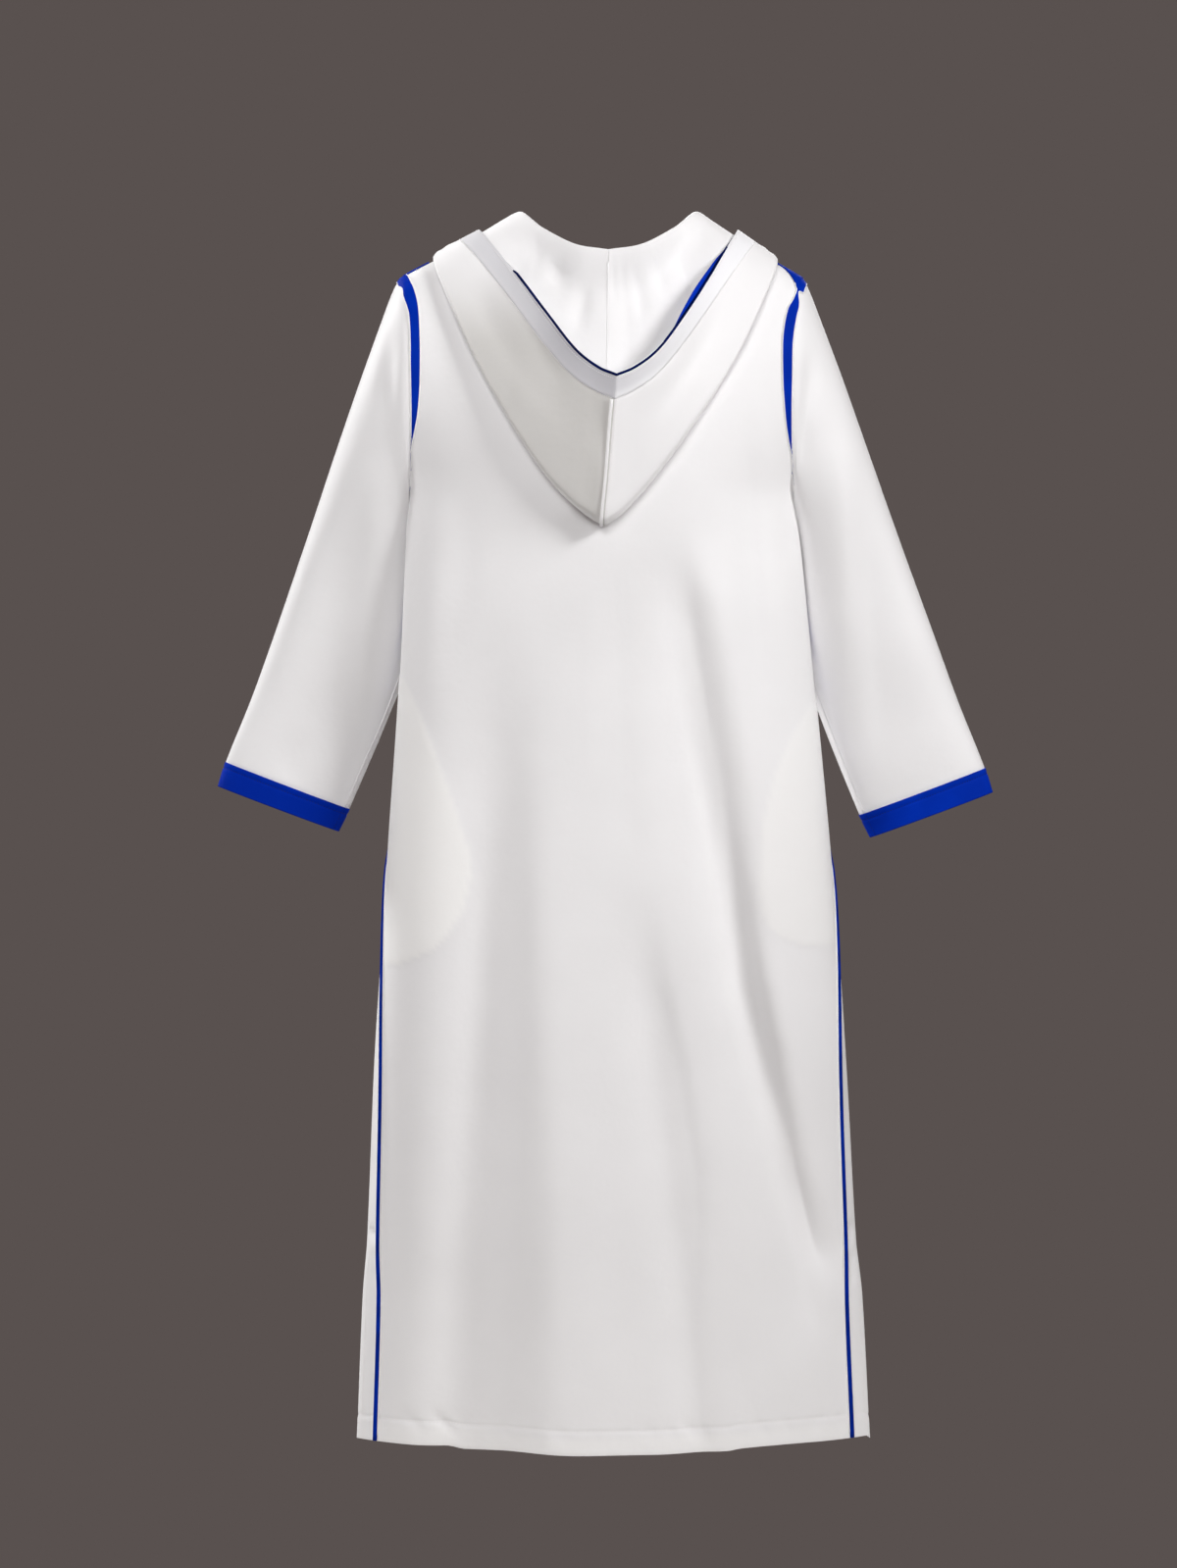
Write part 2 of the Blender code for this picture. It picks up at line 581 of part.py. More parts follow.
def upper_body_tree():
    """The outside of the body above the waist, to lay the hood on."""
    columns, upper_rows, lower_rows, lower_reach = 48, 24, 16, 0.2
    verts, faces = [], []
    for front in (False, True):
        first = len(verts)
        for i in range(upper_rows + lower_rows + 1):
            for j in range(columns + 1):
                share = sin(pi / 2 * (2 * j / columns - 1))
                if i <= upper_rows:
                    verts.append(upper_point(share, i / upper_rows, front))
                else:
                    drop = CHEST_DROP + lower_reach * (i - upper_rows) / lower_rows
                    turn = asin(share)
                    verts.append(body_point(pi - turn if front else turn, drop))
        for i in range(upper_rows + lower_rows):
            for j in range(columns):
                corner = first + i * (columns + 1) + j
                face = (corner, corner + 1, corner + columns + 2, corner + columns + 1)
                faces.append(face if front else face[::-1])
    return BVHTree.FromPolygons([tuple(vert) for vert in verts], faces)


def lift_from(tree, point, least):
    """Move a point out until it is at least so far from the body."""
    place, normal, _, _ = tree.find_nearest(point)
    normal = body_outward(place, normal)
    height = (point - place).dot(normal)
    return point + normal * max(least - height, 0.0)


def lay_on(tree, point, height):
    place, normal, _, _ = tree.find_nearest(point)
    return place + body_outward(place, normal) * height


def body_outward(place, normal):
    outward = Vector((place.x, place.y, place.z + 0.2))
    return normal if normal.dot(outward) > 0 else -normal


def row_point(rows, around, side):
    row = read_table(rows, "around", around)
    return Vector((side * row["x"] + row["shift"], row["y"], -row["drop"]))


def hood_neck_point(around, side):
    """Where the hood is sewn to the neck's edge."""
    front = around > 0.6
    part = 1.0 - ((around - 0.6) / 0.4) ** 1.2 * 0.93 if front else sin(pi / 2 * around / 0.6)
    share = part * NECK_HALF_WIDTH / SHOULDER_HALF_WIDTH
    shares = half_shares()
    low = max(i for i in range(NECK_COLUMNS) if shares[i] <= share + 1e-6)
    ends = [upper_point(side * shares[low + i], 0.0, front) for i in range(2)]
    return ends[0].lerp(ends[1], (share - shares[low]) / (shares[low + 1] - shares[low]))


def spline_point(points, index, part):
    """A smooth curve through the points, between one and the next."""
    start, end = points[index], points[index + 1]
    before, after = points[max(index - 1, 0)], points[min(index + 2, len(points) - 1)]
    span = max((end - start).length, 1e-6)
    slope_start = (end - before) / max((start - before).length + span, 1e-6) * span
    slope_end = (after - start) / max((after - end).length + span, 1e-6) * span
    return ((2 * part ** 3 - 3 * part ** 2 + 1) * start + (part ** 3 - 2 * part ** 2 + part) * slope_start
            + (3 * part ** 2 - 2 * part ** 3) * end + (part ** 3 - part ** 2) * slope_end)


def hood_section(tree, around, side):
    """One section of the hood: from the neck up to the ridge, down to the fold and back to the edge."""
    neck = hood_neck_point(around, side)
    ridge = row_point(HOOD_RIDGE, around, side)
    fold = row_point(HOOD_FOLD, around, side)
    edge = row_point(HOOD_EDGE, around, side)
    radius = HOOD_FOLD_RADIUS * (1.0 - 0.4 * smooth_step((around - 0.35) / 0.25))
    puff = HOOD_PUFF * smooth_step((around - 0.38) / 0.22) * smooth_step((0.85 - around) / 0.25)
    inner = HOOD_CLEARANCE + 0.002 * smooth_step((around - 0.40) / 0.15)
    outer = inner + 2 * radius
    fold_foot = lay_on(tree, fold, inner)
    run = (fold_foot - ridge).length
    turn_start = 1.0 - radius / run
    turn_lead = 1.0 - (radius + HOOD_TURN_LEAD) / run
    across = Vector((fold.x - neck.x, fold.y - neck.y, 0.0)).normalized() * HOOD_RIDGE_RADIUS
    controls = [neck + Vector((0.0, 0.0, 2 * SEAM_GAP)), neck.lerp(ridge - across, 0.6)]
    controls += [ridge - across, ridge + across]
    for part, share in ((0.16, 1.0), (0.42, 0.3), (0.70, 0.0), (turn_lead, 0.0), (turn_start, 0.0)):
        controls.append(lay_on(tree, ridge.lerp(fold_foot, part), inner + puff * share))
    controls.append(lay_on(tree, fold, inner + radius))
    controls.append(lay_on(tree, ridge.lerp(fold_foot, turn_start), outer))
    controls.append(lay_on(tree, ridge.lerp(fold_foot, turn_lead), outer))
    turned = controls[-1]
    start = edge - (edge - turned).normalized() * min(HOOD_BAND_WIDTH, (edge - turned).length * 0.6)
    for part in (0.35, 0.70):
        controls.append(lift_from(tree, turned.lerp(start, part), outer))
    controls.append(lift_from(tree, start, outer))
    controls.append(lift_from(tree, edge, outer))
    return controls


def hood_grid(tree):
    """All sections from the left end over the back to the right end, and their normals."""
    stations = [(around, -1) for around in HOOD_STATIONS[:0:-1]] + [(around, 1) for around in HOOD_STATIONS]
    points = []
    for around, side in stations:
        controls = hood_section(tree, around, side)
        points.append([spline_point(controls, index, part) for index, part in HOOD_SAMPLES])
    rows, columns = len(points), len(points[0])
    normals = []
    for i in range(rows):
        line = []
        for j in range(columns):
            across = points[min(i + 1, rows - 1)][j] - points[max(i - 1, 0)][j]
            along = points[i][min(j + 1, columns - 1)] - points[i][max(j - 1, 0)]
            line.append(across.cross(along).normalized())
        normals.append(line)
    return points, normals


def sub_grid(grid, rows, columns):
    return [row[columns[0]:columns[1] + 1] for row in grid[rows[0]:rows[1] + 1]]


def make_hood(cloth, trim):
    tree = upper_body_tree()
    points, normals = hood_grid(tree)
    middle = len(HOOD_STATIONS) - 1
    end = len(HOOD_SAMPLES) - 1
    for side, rows in ((-1, (0, middle)), (1, (middle, 2 * middle))):
        for name, columns in (("hood", (0, HOOD_BAND_ROW)), ("hood_band", (HOOD_BAND_ROW, end))):
            part = pull_edges_in(sub_grid(points, rows, columns), SEAM_GAP / 2)
            make_wall(f"{name}_{side_name(side)}", part, sub_grid(normals, rows, columns), HOOD_WALL, cloth)
        centres = []
        for i in range(rows[0], rows[1] + 1):
            ahead = (points[i][end] - points[i][end - 1]).normalized()
            centres.append(points[i][end] - normals[i][end] * (HOOD_WALL - PIPING_SINK)
                           + ahead * (HOOD_PIPING_RADIUS + 2 * SEAM_GAP))
        starting = (centres[1] - centres[0]).normalized()
        ending = (centres[-2] - centres[-1]).normalized()
        centres[0] += starting * HOOD_PIPING_RADIUS
        centres[-1] += ending * HOOD_PIPING_RADIUS
        make_piping(f"hood_piping_{side_name(side)}", centres, HOOD_PIPING_RADIUS, trim)


# Trim laid on the panels, and the pocket bags

def make_shoulder_strip(side, material):
    """Over the shoulder seam, from the hood to the armhole."""
    start = STRIP_STARTS[side_name(side)]
    spread = STRIP_SPREADS[side_name(side)]
    points, normals = [], []
    for i in range(STRIP_ROWS + 1):
        part = i / STRIP_ROWS
        share = side * (start + (STRIP_END - start) * part)
        wide = STRIP_SPREAD_START + spread * part ** 2
        row, row_normals = [], []
        for front, down in ((False, 2 * wide), (False, wide), (False, 0.0), (True, STRIP_FRONT)):
            normal = upper_normal(share, down, front)
            row.append(upper_point(share, down, front) + normal * (STRIP_CLEARANCE + STRIP_WALL))
            row_normals.append(normal)
        points.append(row)
        normals.append(row_normals)
    return make_wall(f"shoulder_strip_{side_name(side)}", points, normals, STRIP_WALL, material)


def make_pocket_bag(pocket, material):
    """A flat bag inside the back panel, wide at its middle and rounded at its foot."""
    side = pocket["side"]
    points, normals = [], []
    for i in range(POCKET_ROWS + 1):
        part = i / POCKET_ROWS
        drop = pocket["top"] + (pocket["foot"] - pocket["top"]) * part
        width = pocket["width"] * max(sin(pi * min(part, 0.93) ** 1.5), POCKET_MOUTH)
        first = side_angle(drop, "piping", POCKET_FROM_PIPING)
        last = side_angle(drop, "piping", POCKET_FROM_PIPING + width)
        turns = [side * (first + (last - first) * j / POCKET_COLUMNS) for j in range(POCKET_COLUMNS + 1)]
        normals.append([body_normal(turn, drop) for turn in turns])
        depth = BODY_WALL + POCKET_CLEARANCE
        points.append([body_point(turn, drop) - normal * depth for turn, normal in zip(turns, normals[-1])])
    return make_wall(f"pocket_bag_{side_name(side)}", points, normals, POCKET_WALL, material)


def build():
    for item in list(bpy.data.objects):
        bpy.data.objects.remove(item, do_unlink=True)
    cloth = make_material("cloth")
    trim = make_material("trim")
    make_panel("back_panel", False, cloth)
    make_panel("front_panel", True, cloth)
    cuff_start = SLEEVE_LENGTH - CUFF_HEIGHT
    for side in (-1, 1):
        name = side_name(side)
        make_gore(side, cloth)
        make_side_piping(side, trim)
        make_sleeve_part(f"armhole_band_{name}", side, 0.0, ARMHOLE_BAND_WIDTH, 1, BODY_WALL, 0.0, trim)
        make_sleeve_part(f"sleeve_{name}", side, ARMHOLE_BAND_WIDTH, cuff_start, SLEEVE_ROWS,
                         BODY_WALL, 0.0, cloth)
        make_sleeve_part(f"cuff_{name}", side, cuff_start, SLEEVE_LENGTH, 2, CUFF_WALL, CUFF_LIFT, trim)
        make_shoulder_strip(side, trim)
    make_hood(cloth, trim)
    for pocket in POCKETS:
        make_pocket_bag(pocket, cloth)


build()
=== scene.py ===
from math import pi, sin

import bmesh
import bpy
import numpy as np
from mathutils import Matrix, Vector
from mathutils.bvhtree import BVHTree


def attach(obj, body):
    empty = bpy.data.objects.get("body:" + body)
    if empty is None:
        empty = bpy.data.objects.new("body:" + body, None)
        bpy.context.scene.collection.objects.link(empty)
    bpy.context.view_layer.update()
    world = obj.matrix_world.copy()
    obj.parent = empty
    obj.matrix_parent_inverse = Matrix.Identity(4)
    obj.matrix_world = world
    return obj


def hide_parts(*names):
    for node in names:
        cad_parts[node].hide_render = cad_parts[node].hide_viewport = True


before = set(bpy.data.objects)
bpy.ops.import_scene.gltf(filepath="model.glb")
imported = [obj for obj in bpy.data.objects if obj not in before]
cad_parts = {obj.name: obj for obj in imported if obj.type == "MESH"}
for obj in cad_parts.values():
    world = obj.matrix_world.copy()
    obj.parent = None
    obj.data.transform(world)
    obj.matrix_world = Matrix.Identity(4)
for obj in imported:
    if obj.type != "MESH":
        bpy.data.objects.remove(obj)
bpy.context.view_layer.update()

# The back of the robe faces -Y. A drop is a distance below the origin, and side is -1 on the left.

sideNames = {-1: "Left", 0: "", 1: "Right"}

camera = dict(place=(-0.0224, -4.0, -0.632), lens=80.4, sensor=36.0)

stageSettings = dict(floorRadius=0.85, floorHeight=-1.742, floorColour="d8d5d0", backdropColour="59514f")

lights = [
    dict(name="keyLight", place=(3.4, -2.5, 1.9), size=1.4, power=28.5, spread=80.0, aim=-0.30),
    dict(name="fillLight", place=(-0.6, -4.0, 1.3), size=2.2, power=95.0, spread=180.0, aim=-0.65),
    dict(name="leftEdgeLight", place=(-3.4, -0.5, 0.1), size=1.8, power=36.0, spread=180.0, aim=-0.65),
    dict(name="frontKeyLight", place=(-3.4, 2.5, 1.9), size=1.2, power=25.5, spread=80.0, aim=-0.30),
    dict(name="frontFillLight", place=(0.6, 4.0, 1.3), size=2.2, power=84.0, spread=180.0, aim=-0.65),
]


# Small tools

def toLinear(hexColour):
    values = []
    for i in (0, 2, 4):
        value = int(hexColour[i:i + 2], 16) / 255.0
        values.append(value / 12.92 if value <= 0.04045 else ((value + 0.055) / 1.055) ** 2.4)
    return (*values, 1.0)


def smoothStep(value):
    value = np.clip(value, 0.0, 1.0)
    return value * value * (3.0 - 2.0 * value)


def tableRows(names, *rows, plain=""):  # in millimetres, apart from the columns named as plain
    return [{name: value if name in plain.split() else value / 1000
             for name, value in zip(names.split(), row)} for row in rows]


def curveValue(part, start, slopeStart, end, slopeEnd):
    return ((2 * part ** 3 - 3 * part ** 2 + 1) * start + (part ** 3 - 2 * part ** 2 + part) * slopeStart
            + (3 * part ** 2 - 2 * part ** 3) * end + (part ** 3 - part ** 2) * slopeEnd)


def readTable(rows, key, value):
    keys = np.array([row[key] for row in rows])
    value = np.clip(np.asarray(value, dtype=float), keys[0], keys[-1])
    low = np.clip(np.searchsorted(keys, value, side="right") - 1, 0, len(keys) - 2)
    before, after = np.maximum(low - 1, 0), np.minimum(low + 2, len(keys) - 1)
    span = keys[low + 1] - keys[low]
    result = {}
    for name in rows[0]:
        column = np.array([row[name] for row in rows])
        slopeStart = (column[low + 1] - column[before]) / (keys[low + 1] - keys[before]) * span
        slopeEnd = (column[after] - column[low]) / (keys[after] - keys[low]) * span
        result[name] = curveValue((value - keys[low]) / span, column[low], slopeStart,
                                  column[low + 1], slopeEnd)
    return result


def unit(vectors):
    return vectors / np.maximum(np.linalg.norm(vectors, axis=-1, keepdims=True), 1e-9)


def gridNormals(points, closed=False):
    if closed:
        ring = np.concatenate([points[:, -2:-1], points, points[:, 1:2]], axis=1)
        across = ring[:, 2:] - ring[:, :-2]
    else:
        across = np.gradient(points, axis=1)
    return unit(np.cross(across, np.gradient(points, axis=0)))


def pointAlong(normals, outward):
    return normals if (normals * outward).sum() >= 0 else -normals


def edgeSteps(count):
    return np.minimum(np.arange(count), np.arange(count)[::-1])


def xAndDrop(points):
    return points[..., 0], -points[..., 2]


def matched(*values):
    return np.broadcast_arrays(*(np.asarray(value, float) for value in values))


def meshFrom(name, bm):
    mesh = bpy.data.meshes.new(name)
    bm.to_mesh(mesh)
    bm.free()
    return mesh


def addItem(name, data):
    item = bpy.data.objects.new(name, data)
    bpy.context.scene.collection.objects.link(item)
    return item


# Materials

def addNode(tree, kind, settings=(), links=()):
    node = tree.nodes.new(kind)
    for name, value in dict(settings).items():
        if isinstance(name, int) or name in node.inputs:
            node.inputs[name].default_value = value
        else:
            setattr(node, name, value)
    for name, source in dict(links).items():
        tree.links.new(source, node.inputs[name])
    return node


def newMaterial(name):
    material = bpy.data.materials.new(name)
    material.use_nodes = True
    material.node_tree.nodes.clear()
    return material, material.node_tree


def wavePeriod(metres):
    return 2 * pi / 20 / metres


def patchedColour(tree, cloth, low, high):
    place = addNode(tree, "ShaderNodeTexCoord").outputs["Object"]
    patches = addNode(tree, "ShaderNodeTexNoise", {"Scale": 1.0 / cloth["patch"], "Detail": 2.0},
                      {"Vector": place})
    ramp = addNode(tree, "ShaderNodeValToRGB", links={"Fac": patches.outputs["Fac"]})
    for element, position, colour in zip(ramp.color_ramp.elements, (low, high), ("shade", "colour")):
        element.position = position
        element.color = toLinear(cloth[colour])
    return ramp.outputs["Color"], place


def finishCloth(tree, cloth, colour, bump):
    shader = addNode(tree, "ShaderNodeBsdfPrincipled",
                     {"Roughness": cloth["roughness"], "Sheen Weight": cloth["sheen"],
                      "Sheen Roughness": cloth.get("sheenRoughness", 0.5),
                      "Specular IOR Level": cloth["specular"]},
                     {"Base Color": colour, "Normal": bump.outputs["Normal"]})
    addNode(tree, "ShaderNodeOutputMaterial", links={"Surface": shader.outputs["BSDF"]})


def makeSatin(name, cloth):
    material, tree = newMaterial(name)
    metres = addNode(tree, "ShaderNodeUVMap", {"uv_map": "metres"}).outputs["UV"]
    warp, weft = (addNode(tree, "ShaderNodeTexWave",
                          {"bands_direction": direction, "Distortion": 0.4,
                           "Scale": wavePeriod(cloth["thread"] * wide)},
                          {"Vector": metres}).outputs["Fac"]
                  for direction, wide in (("X", 1.0), ("Y", 2.0)))
    weave = addNode(tree, "ShaderNodeMath", {"operation": "MULTIPLY"}, {0: warp, 1: weft})
    base, place = patchedColour(tree, cloth, 0.30, 0.70)
    rumple = addNode(tree, "ShaderNodeTexNoise", {"Scale": 1.0 / cloth["rumple"], "Detail": 3.0},
                     {"Vector": place})
    soft = addNode(tree, "ShaderNodeBump", {"Strength": 0.6, "Distance": cloth["rumpleHeight"]},
                   {"Height": rumple.outputs["Fac"]})
    fine = addNode(tree, "ShaderNodeBump", {"Strength": 0.35, "Distance": cloth["threadHeight"]},
                   {"Height": weave.outputs["Value"], "Normal": soft.outputs["Normal"]})
    # The attribute's share mixes in a second colour: a whiter one where the cloth lies doubled, a greyer
    # one where shade is painted on the hood's left half, and a near-white one on the hood's band.
    doubledAndShade = addNode(tree, "ShaderNodeAttribute", {"attribute_name": "doubledAndShade"})
    colour = addNode(tree, "ShaderNodeMix", {"data_type": "RGBA", 7: toLinear(cloth["doubledAndShadeColour"])},
                     {0: doubledAndShade.outputs["Fac"], 6: base})
    finishCloth(tree, cloth, colour.outputs[2], fine)
    return material


def makeRibbed(name, cloth):
    material, tree = newMaterial(name)
    metres = addNode(tree, "ShaderNodeUVMap", {"uv_map": "metres"})
    turned = addNode(tree, "ShaderNodeMapping", {"Rotation": (0.0, 0.0, cloth["slant"])},
                     {"Vector": metres.outputs["UV"]})
    ribs = addNode(tree, "ShaderNodeTexWave",
                   {"bands_direction": "X", "Scale": wavePeriod(cloth["rib"]), "Distortion": 0.3},
                   {"Vector": turned.outputs["Vector"]})
    bump = addNode(tree, "ShaderNodeBump", {"Strength": 0.5, "Distance": cloth["ribHeight"]},
                   {"Height": ribs.outputs["Fac"]})
    finishCloth(tree, cloth, patchedColour(tree, cloth, 0.35, 0.65)[0], bump)
    return material


# White polyester satin: smooth, with a faint sheen and soft unevenness.
satinLook = dict(colour="f3f2f3", shade="efeeef", doubledAndShadeColour="fbfaf8", roughness=0.55, sheen=1.0,
                 sheenRoughness=0.6, specular=0.3, threadHeight=0.00006, rumple=0.030, rumpleHeight=0.0012,
                 patch=0.120, thread=0.0005)  # twice the real thread, so that it still shows
satin = makeSatin("whitePolyesterSatin", satinLook)

# The same satin with painted shade: low on the back of the hood's left half it mixes toward a greyer
# colour, which stands in for the shade on the side away from the key light.
satinPaintedShade = makeSatin("whitePolyesterSatinPaintedShade", dict(satinLook, doubledAndShadeColour="c8c6c3"))

# The same satin over a blue tape, which shows through as a cool grey; the hood sets where the band mixes
# toward a near-white colour.
satinOverBlue = makeSatin("whiteSatinOverBlueTape", dict(satinLook, colour="c3c2c7", shade="bdbcc2",
                                                         doubledAndShadeColour="f1f1f4", sheen=0.40))

# Blue polyester ribbon: deep colour, fine crosswise ribs and a soft shine.
ribbon = makeRibbed("bluePolyesterRibbon", dict(
    colour="0030b3", shade="00289e", roughness=0.65, sheen=0.0, specular=0.03,
    rib=0.0009, ribHeight=0.00012, slant=0.0, patch=0.060))

# Blue twisted cord: slanting strands, darker between them.
cordCloth = makeRibbed("blueTwistedCord", dict(
    colour="00289c", shade="002080", roughness=0.65, sheen=0.0, specular=0.03,
    rib=0.0022, ribHeight=0.0004, slant=0.7, patch=0.020))

# The same cord with painted shade: a darker blue that stands in for the shade along the hood's edge.
paintedShadeCord = makeRibbed("blueTwistedCordPaintedShade", dict(
    colour="01124e", shade="010c3a", roughness=0.65, sheen=0.0, specular=0.03,
    rib=0.0022, ribHeight=0.0004, slant=0.7, patch=0.020))

# White sewing thread: a little glossier than the cloth.
whiteThread = makeRibbed("whiteSewingThread", dict(
    colour="f6f5f3", shade="eceae8", roughness=0.45, sheen=0.05, specular=0.4,
    rib=0.0006, ribHeight=0.00005, slant=0.6, patch=0.030))

# Dark blue sewing thread, which shows as a darker dotted line on the ribbon.
blueThread = makeRibbed("blueSewingThread", dict(
    colour="010c52", shade="01093c", roughness=0.5, sheen=0.0, specular=0.2,
    rib=0.0006, ribHeight=0.00005, slant=0.6, patch=0.030))
print("materials made")


# Meshes

def addObject(name, bm, material, node=""):
    mesh = meshFrom(name, bm)
    mesh.materials.append(material)
    for face in mesh.polygons:
        face.use_smooth = True
    item = addItem(name, mesh)
    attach(item, "root")
    if node:
        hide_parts(node)
    return item


def addSheet(name, side, points, material, thickness, node="", flip=False, closed=False):
    ending = sideNames[side]
    item = addObject(name + ending, bendGrid(points, closed, flip), material,
                     node and node + ending.lower())
    wall = item.modifiers.new("wall", "SOLIDIFY")
    wall.thickness = thickness
    wall.offset = -1.0
    item.modifiers.new("evenNormals", "WEIGHTED_NORMAL").keep_sharp = True
    return item


def bendGrid(points, closed=False, flip=False):
    rows, columns = points.shape[0] - 1, points.shape[1] - 1
    bm = bmesh.new()
    bmesh.ops.create_grid(bm, x_segments=columns, y_segments=rows, size=0.5)
    along = np.concatenate([np.zeros((1, columns + 1)),
                            np.cumsum(np.linalg.norm(np.diff(points, axis=0), axis=-1), axis=0)])
    across = np.concatenate([np.zeros((rows + 1, 1)),
                             np.cumsum(np.linalg.norm(np.diff(points, axis=1), axis=-1), axis=1)], axis=1)
    across -= across[:, columns // 2:columns // 2 + 1]
    metres = bm.loops.layers.uv.new("metres")
    spots = {}
    for vert in bm.verts:
        spots[vert] = (round((vert.co.y + 0.5) * rows), round((vert.co.x + 0.5) * columns))
    for face in bm.faces:
        for loop in face.loops:
            loop[metres].uv = (across[spots[loop.vert]], along[spots[loop.vert]])
    for vert, spot in spots.items():
        vert.co = points[spot]
    if flip:
        bmesh.ops.reverse_faces(bm, faces=bm.faces)
    if closed:
        bmesh.ops.remove_doubles(bm, verts=bm.verts, dist=1e-6)
    return bm


def setDoubledAndShade(item, shares):
    layer = item.data.attributes.new("doubledAndShade", "FLOAT", "POINT")
    layer.data.foreach_set("value", np.ravel(shares).astype(np.float32))


def gridSpots(points, normals, rowPlaces, columnPlaces):
    rowPlaces, columnPlaces = matched(rowPlaces, columnPlaces)
    i, j = rowPlaces.astype(int), columnPlaces.astype(int)
    s, t = (rowPlaces - i)[..., None], (columnPlaces - j)[..., None]
    place, outward = (((grid[i, j] * (1 - t) + grid[i, j + 1] * t) * (1 - s)
                       + (grid[i + 1, j] * (1 - t) + grid[i + 1, j + 1] * t) * s)
                      for grid in (points, normals))
    return place, unit(outward)


def stitchMatrices(lines, stitch):
    matrices = []
    for places, outwards in lines:
        run = np.concatenate([[0.0], np.cumsum(np.linalg.norm(np.diff(places, axis=0), axis=-1))])
        count = int(run[-1] / stitch["pitch"])
        middles = (np.arange(count) + 0.5) * run[-1] / count
        spots, aheads, ups = (np.stack([np.interp(at, run, table[:, axis]) for axis in range(3)], axis=-1)
                              for table, at in ((places, middles), (places, middles + 0.0005),
                                                (outwards, middles)))
        tangents = unit(aheads - spots)
        besides = unit(np.cross(ups, tangents))
        ups = np.cross(tangents, besides)
        for spot, tangent, beside, up in zip(spots + ups * stitch["lift"], tangents, besides, ups):
            matrix = Matrix((beside * stitch["width"] / 2, up * stitch["height"] / 2,
                             tangent * stitch["length"] / 2)).transposed().to_4x4()
            matrix.translation = spot
            matrices.append(matrix)
    return matrices


def addStitches(name, lines, stitch, material):
    matrices = stitchMatrices(lines, stitch)
    whole, mesh = bmesh.new(), bpy.data.meshes.new("stitches")
    for first in range(0, len(matrices), 30):
        part = bmesh.new()
        for matrix in matrices[first:first + 30]:
            bmesh.ops.create_uvsphere(part, u_segments=8, v_segments=5, radius=1.0, matrix=matrix)
        part.to_mesh(mesh)
        part.free()
        whole.from_mesh(mesh)
    bpy.data.meshes.remove(mesh)
    whole.loops.layers.uv.new("metres")
    bmesh.ops.recalc_face_normals(whole, faces=whole.faces)
    addObject(name, whole, material)


def addTube(name, places, radius, material, node="", sides=8):
    tangents = unit(np.gradient(places, axis=0))
    upright = abs(tangents[len(places) // 2][2]) >= 0.7
    guide = np.array([0.0, 1.0, 0.0] if upright else [0.0, 0.0, 1.0])
    turns = np.linspace(0.0, 2 * pi, sides + 1)[:, None]
    rings = []
    sideways = unit(np.cross(tangents[0], guide))
    for place, tangent in zip(places, tangents):
        sideways = unit(sideways - tangent * np.dot(sideways, tangent))
        up = np.cross(tangent, sideways)
        rings.append(place + radius * (np.cos(turns) * sideways + np.sin(turns) * up))
    bm = bendGrid(np.array(rings), closed=True)
    bmesh.ops.holes_fill(bm, edges=[edge for edge in bm.edges if edge.is_boundary], sides=0)
    bmesh.ops.recalc_face_normals(bm, faces=bm.faces)
    addObject(name, bm, material, node)


def crease(depth, left, right, *path, growth=0.35, fade=0.35, shape=2.0):
    return dict(depth=depth / 1000, left=left / 1000, right=right / 1000, path=np.array(path) / 1000,
                growth=growth, fade=fade, shape=shape)


def creasePush(x, drop, creases):
    total = np.zeros_like(x)
    for line in creases:
        path = line["path"]
        lengths = np.linalg.norm(np.diff(path, axis=0), axis=-1)
        run = np.concatenate([[0.0], np.cumsum(lengths)]) / lengths.sum()
        best = np.full(x.shape, 1e9)
        part, away = np.zeros_like(x), np.zeros_like(x)
        for k, ahead in enumerate(np.diff(path, axis=0)):
            toX, toDrop = x - path[k][0], drop - path[k][1]
            share = np.clip((toX * ahead[0] + toDrop * ahead[1]) / (ahead @ ahead), 0.0, 1.0)
            distance = np.hypot(toX - ahead[0] * share, toDrop - ahead[1] * share)
            closer = distance < best
            best = np.where(closer, distance, best)
            away = np.where(closer, distance * np.sign(toX * ahead[1] - toDrop * ahead[0]), away)
            part = np.where(closer, run[k] + (run[k + 1] - run[k]) * share, part)
        offset = np.abs(away) / np.where(away < 0, line["left"], line["right"])
        swell = smoothStep(part / line["growth"]) * smoothStep((1.0 - part) / line["fade"])
        total += line["depth"] * swell * np.exp(-offset ** line["shape"])
    return total


# The body's shape, shared by the panels, the gores and what lies on them

body = dict(
    wall=0.0012, neckHalfWidth=0.104, neckBackDepth=0.062, neckBackDrop=0.050, neckFrontDepth=0.100,
    neckFrontDrop=0.150, neckSideDrop=0.008, shoulderHalfWidth=0.2296, shoulderDrop=0.055,
    shoulderCurve=1.6, chestDrop=0.308, armholeBack=0.062, armholeFront=0.050, armholeHollow=0.0115,
    upperBackDepth=0.112, neckSteepness=0.75, slitDrop=1.154, slitFade=0.020, slitParting=0.0035,
    hemDrop=1.378, hemDepth=0.027)
hemLine = body["hemDrop"] - body["hemDepth"]  # where the turned-up hem is sewn
seamGap = 0.0012  # between the piping's middle and the cloth's edge

# Tables are in millimetres, apart from shares of a length and angles.

bodyRows = tableRows("drop halfWidth depth power lean",
    (308, 221.5, 112, 0.5, -7.8), (364, 225.7, 110, 0.5, -5.5), (510, 235.8, 108, 0.5, -1.5),
    (700, 251.4, 112, 0.51, 1), (812, 260.4, 115, 0.55, 2.2), (950, 269.5, 117, 0.63, 2.5),
    (1154, 279.3, 118, 0.78, 4), (1215, 285, 118, 0.88, 5), (1378, 292.5, 118, 1, 6), plain="power")

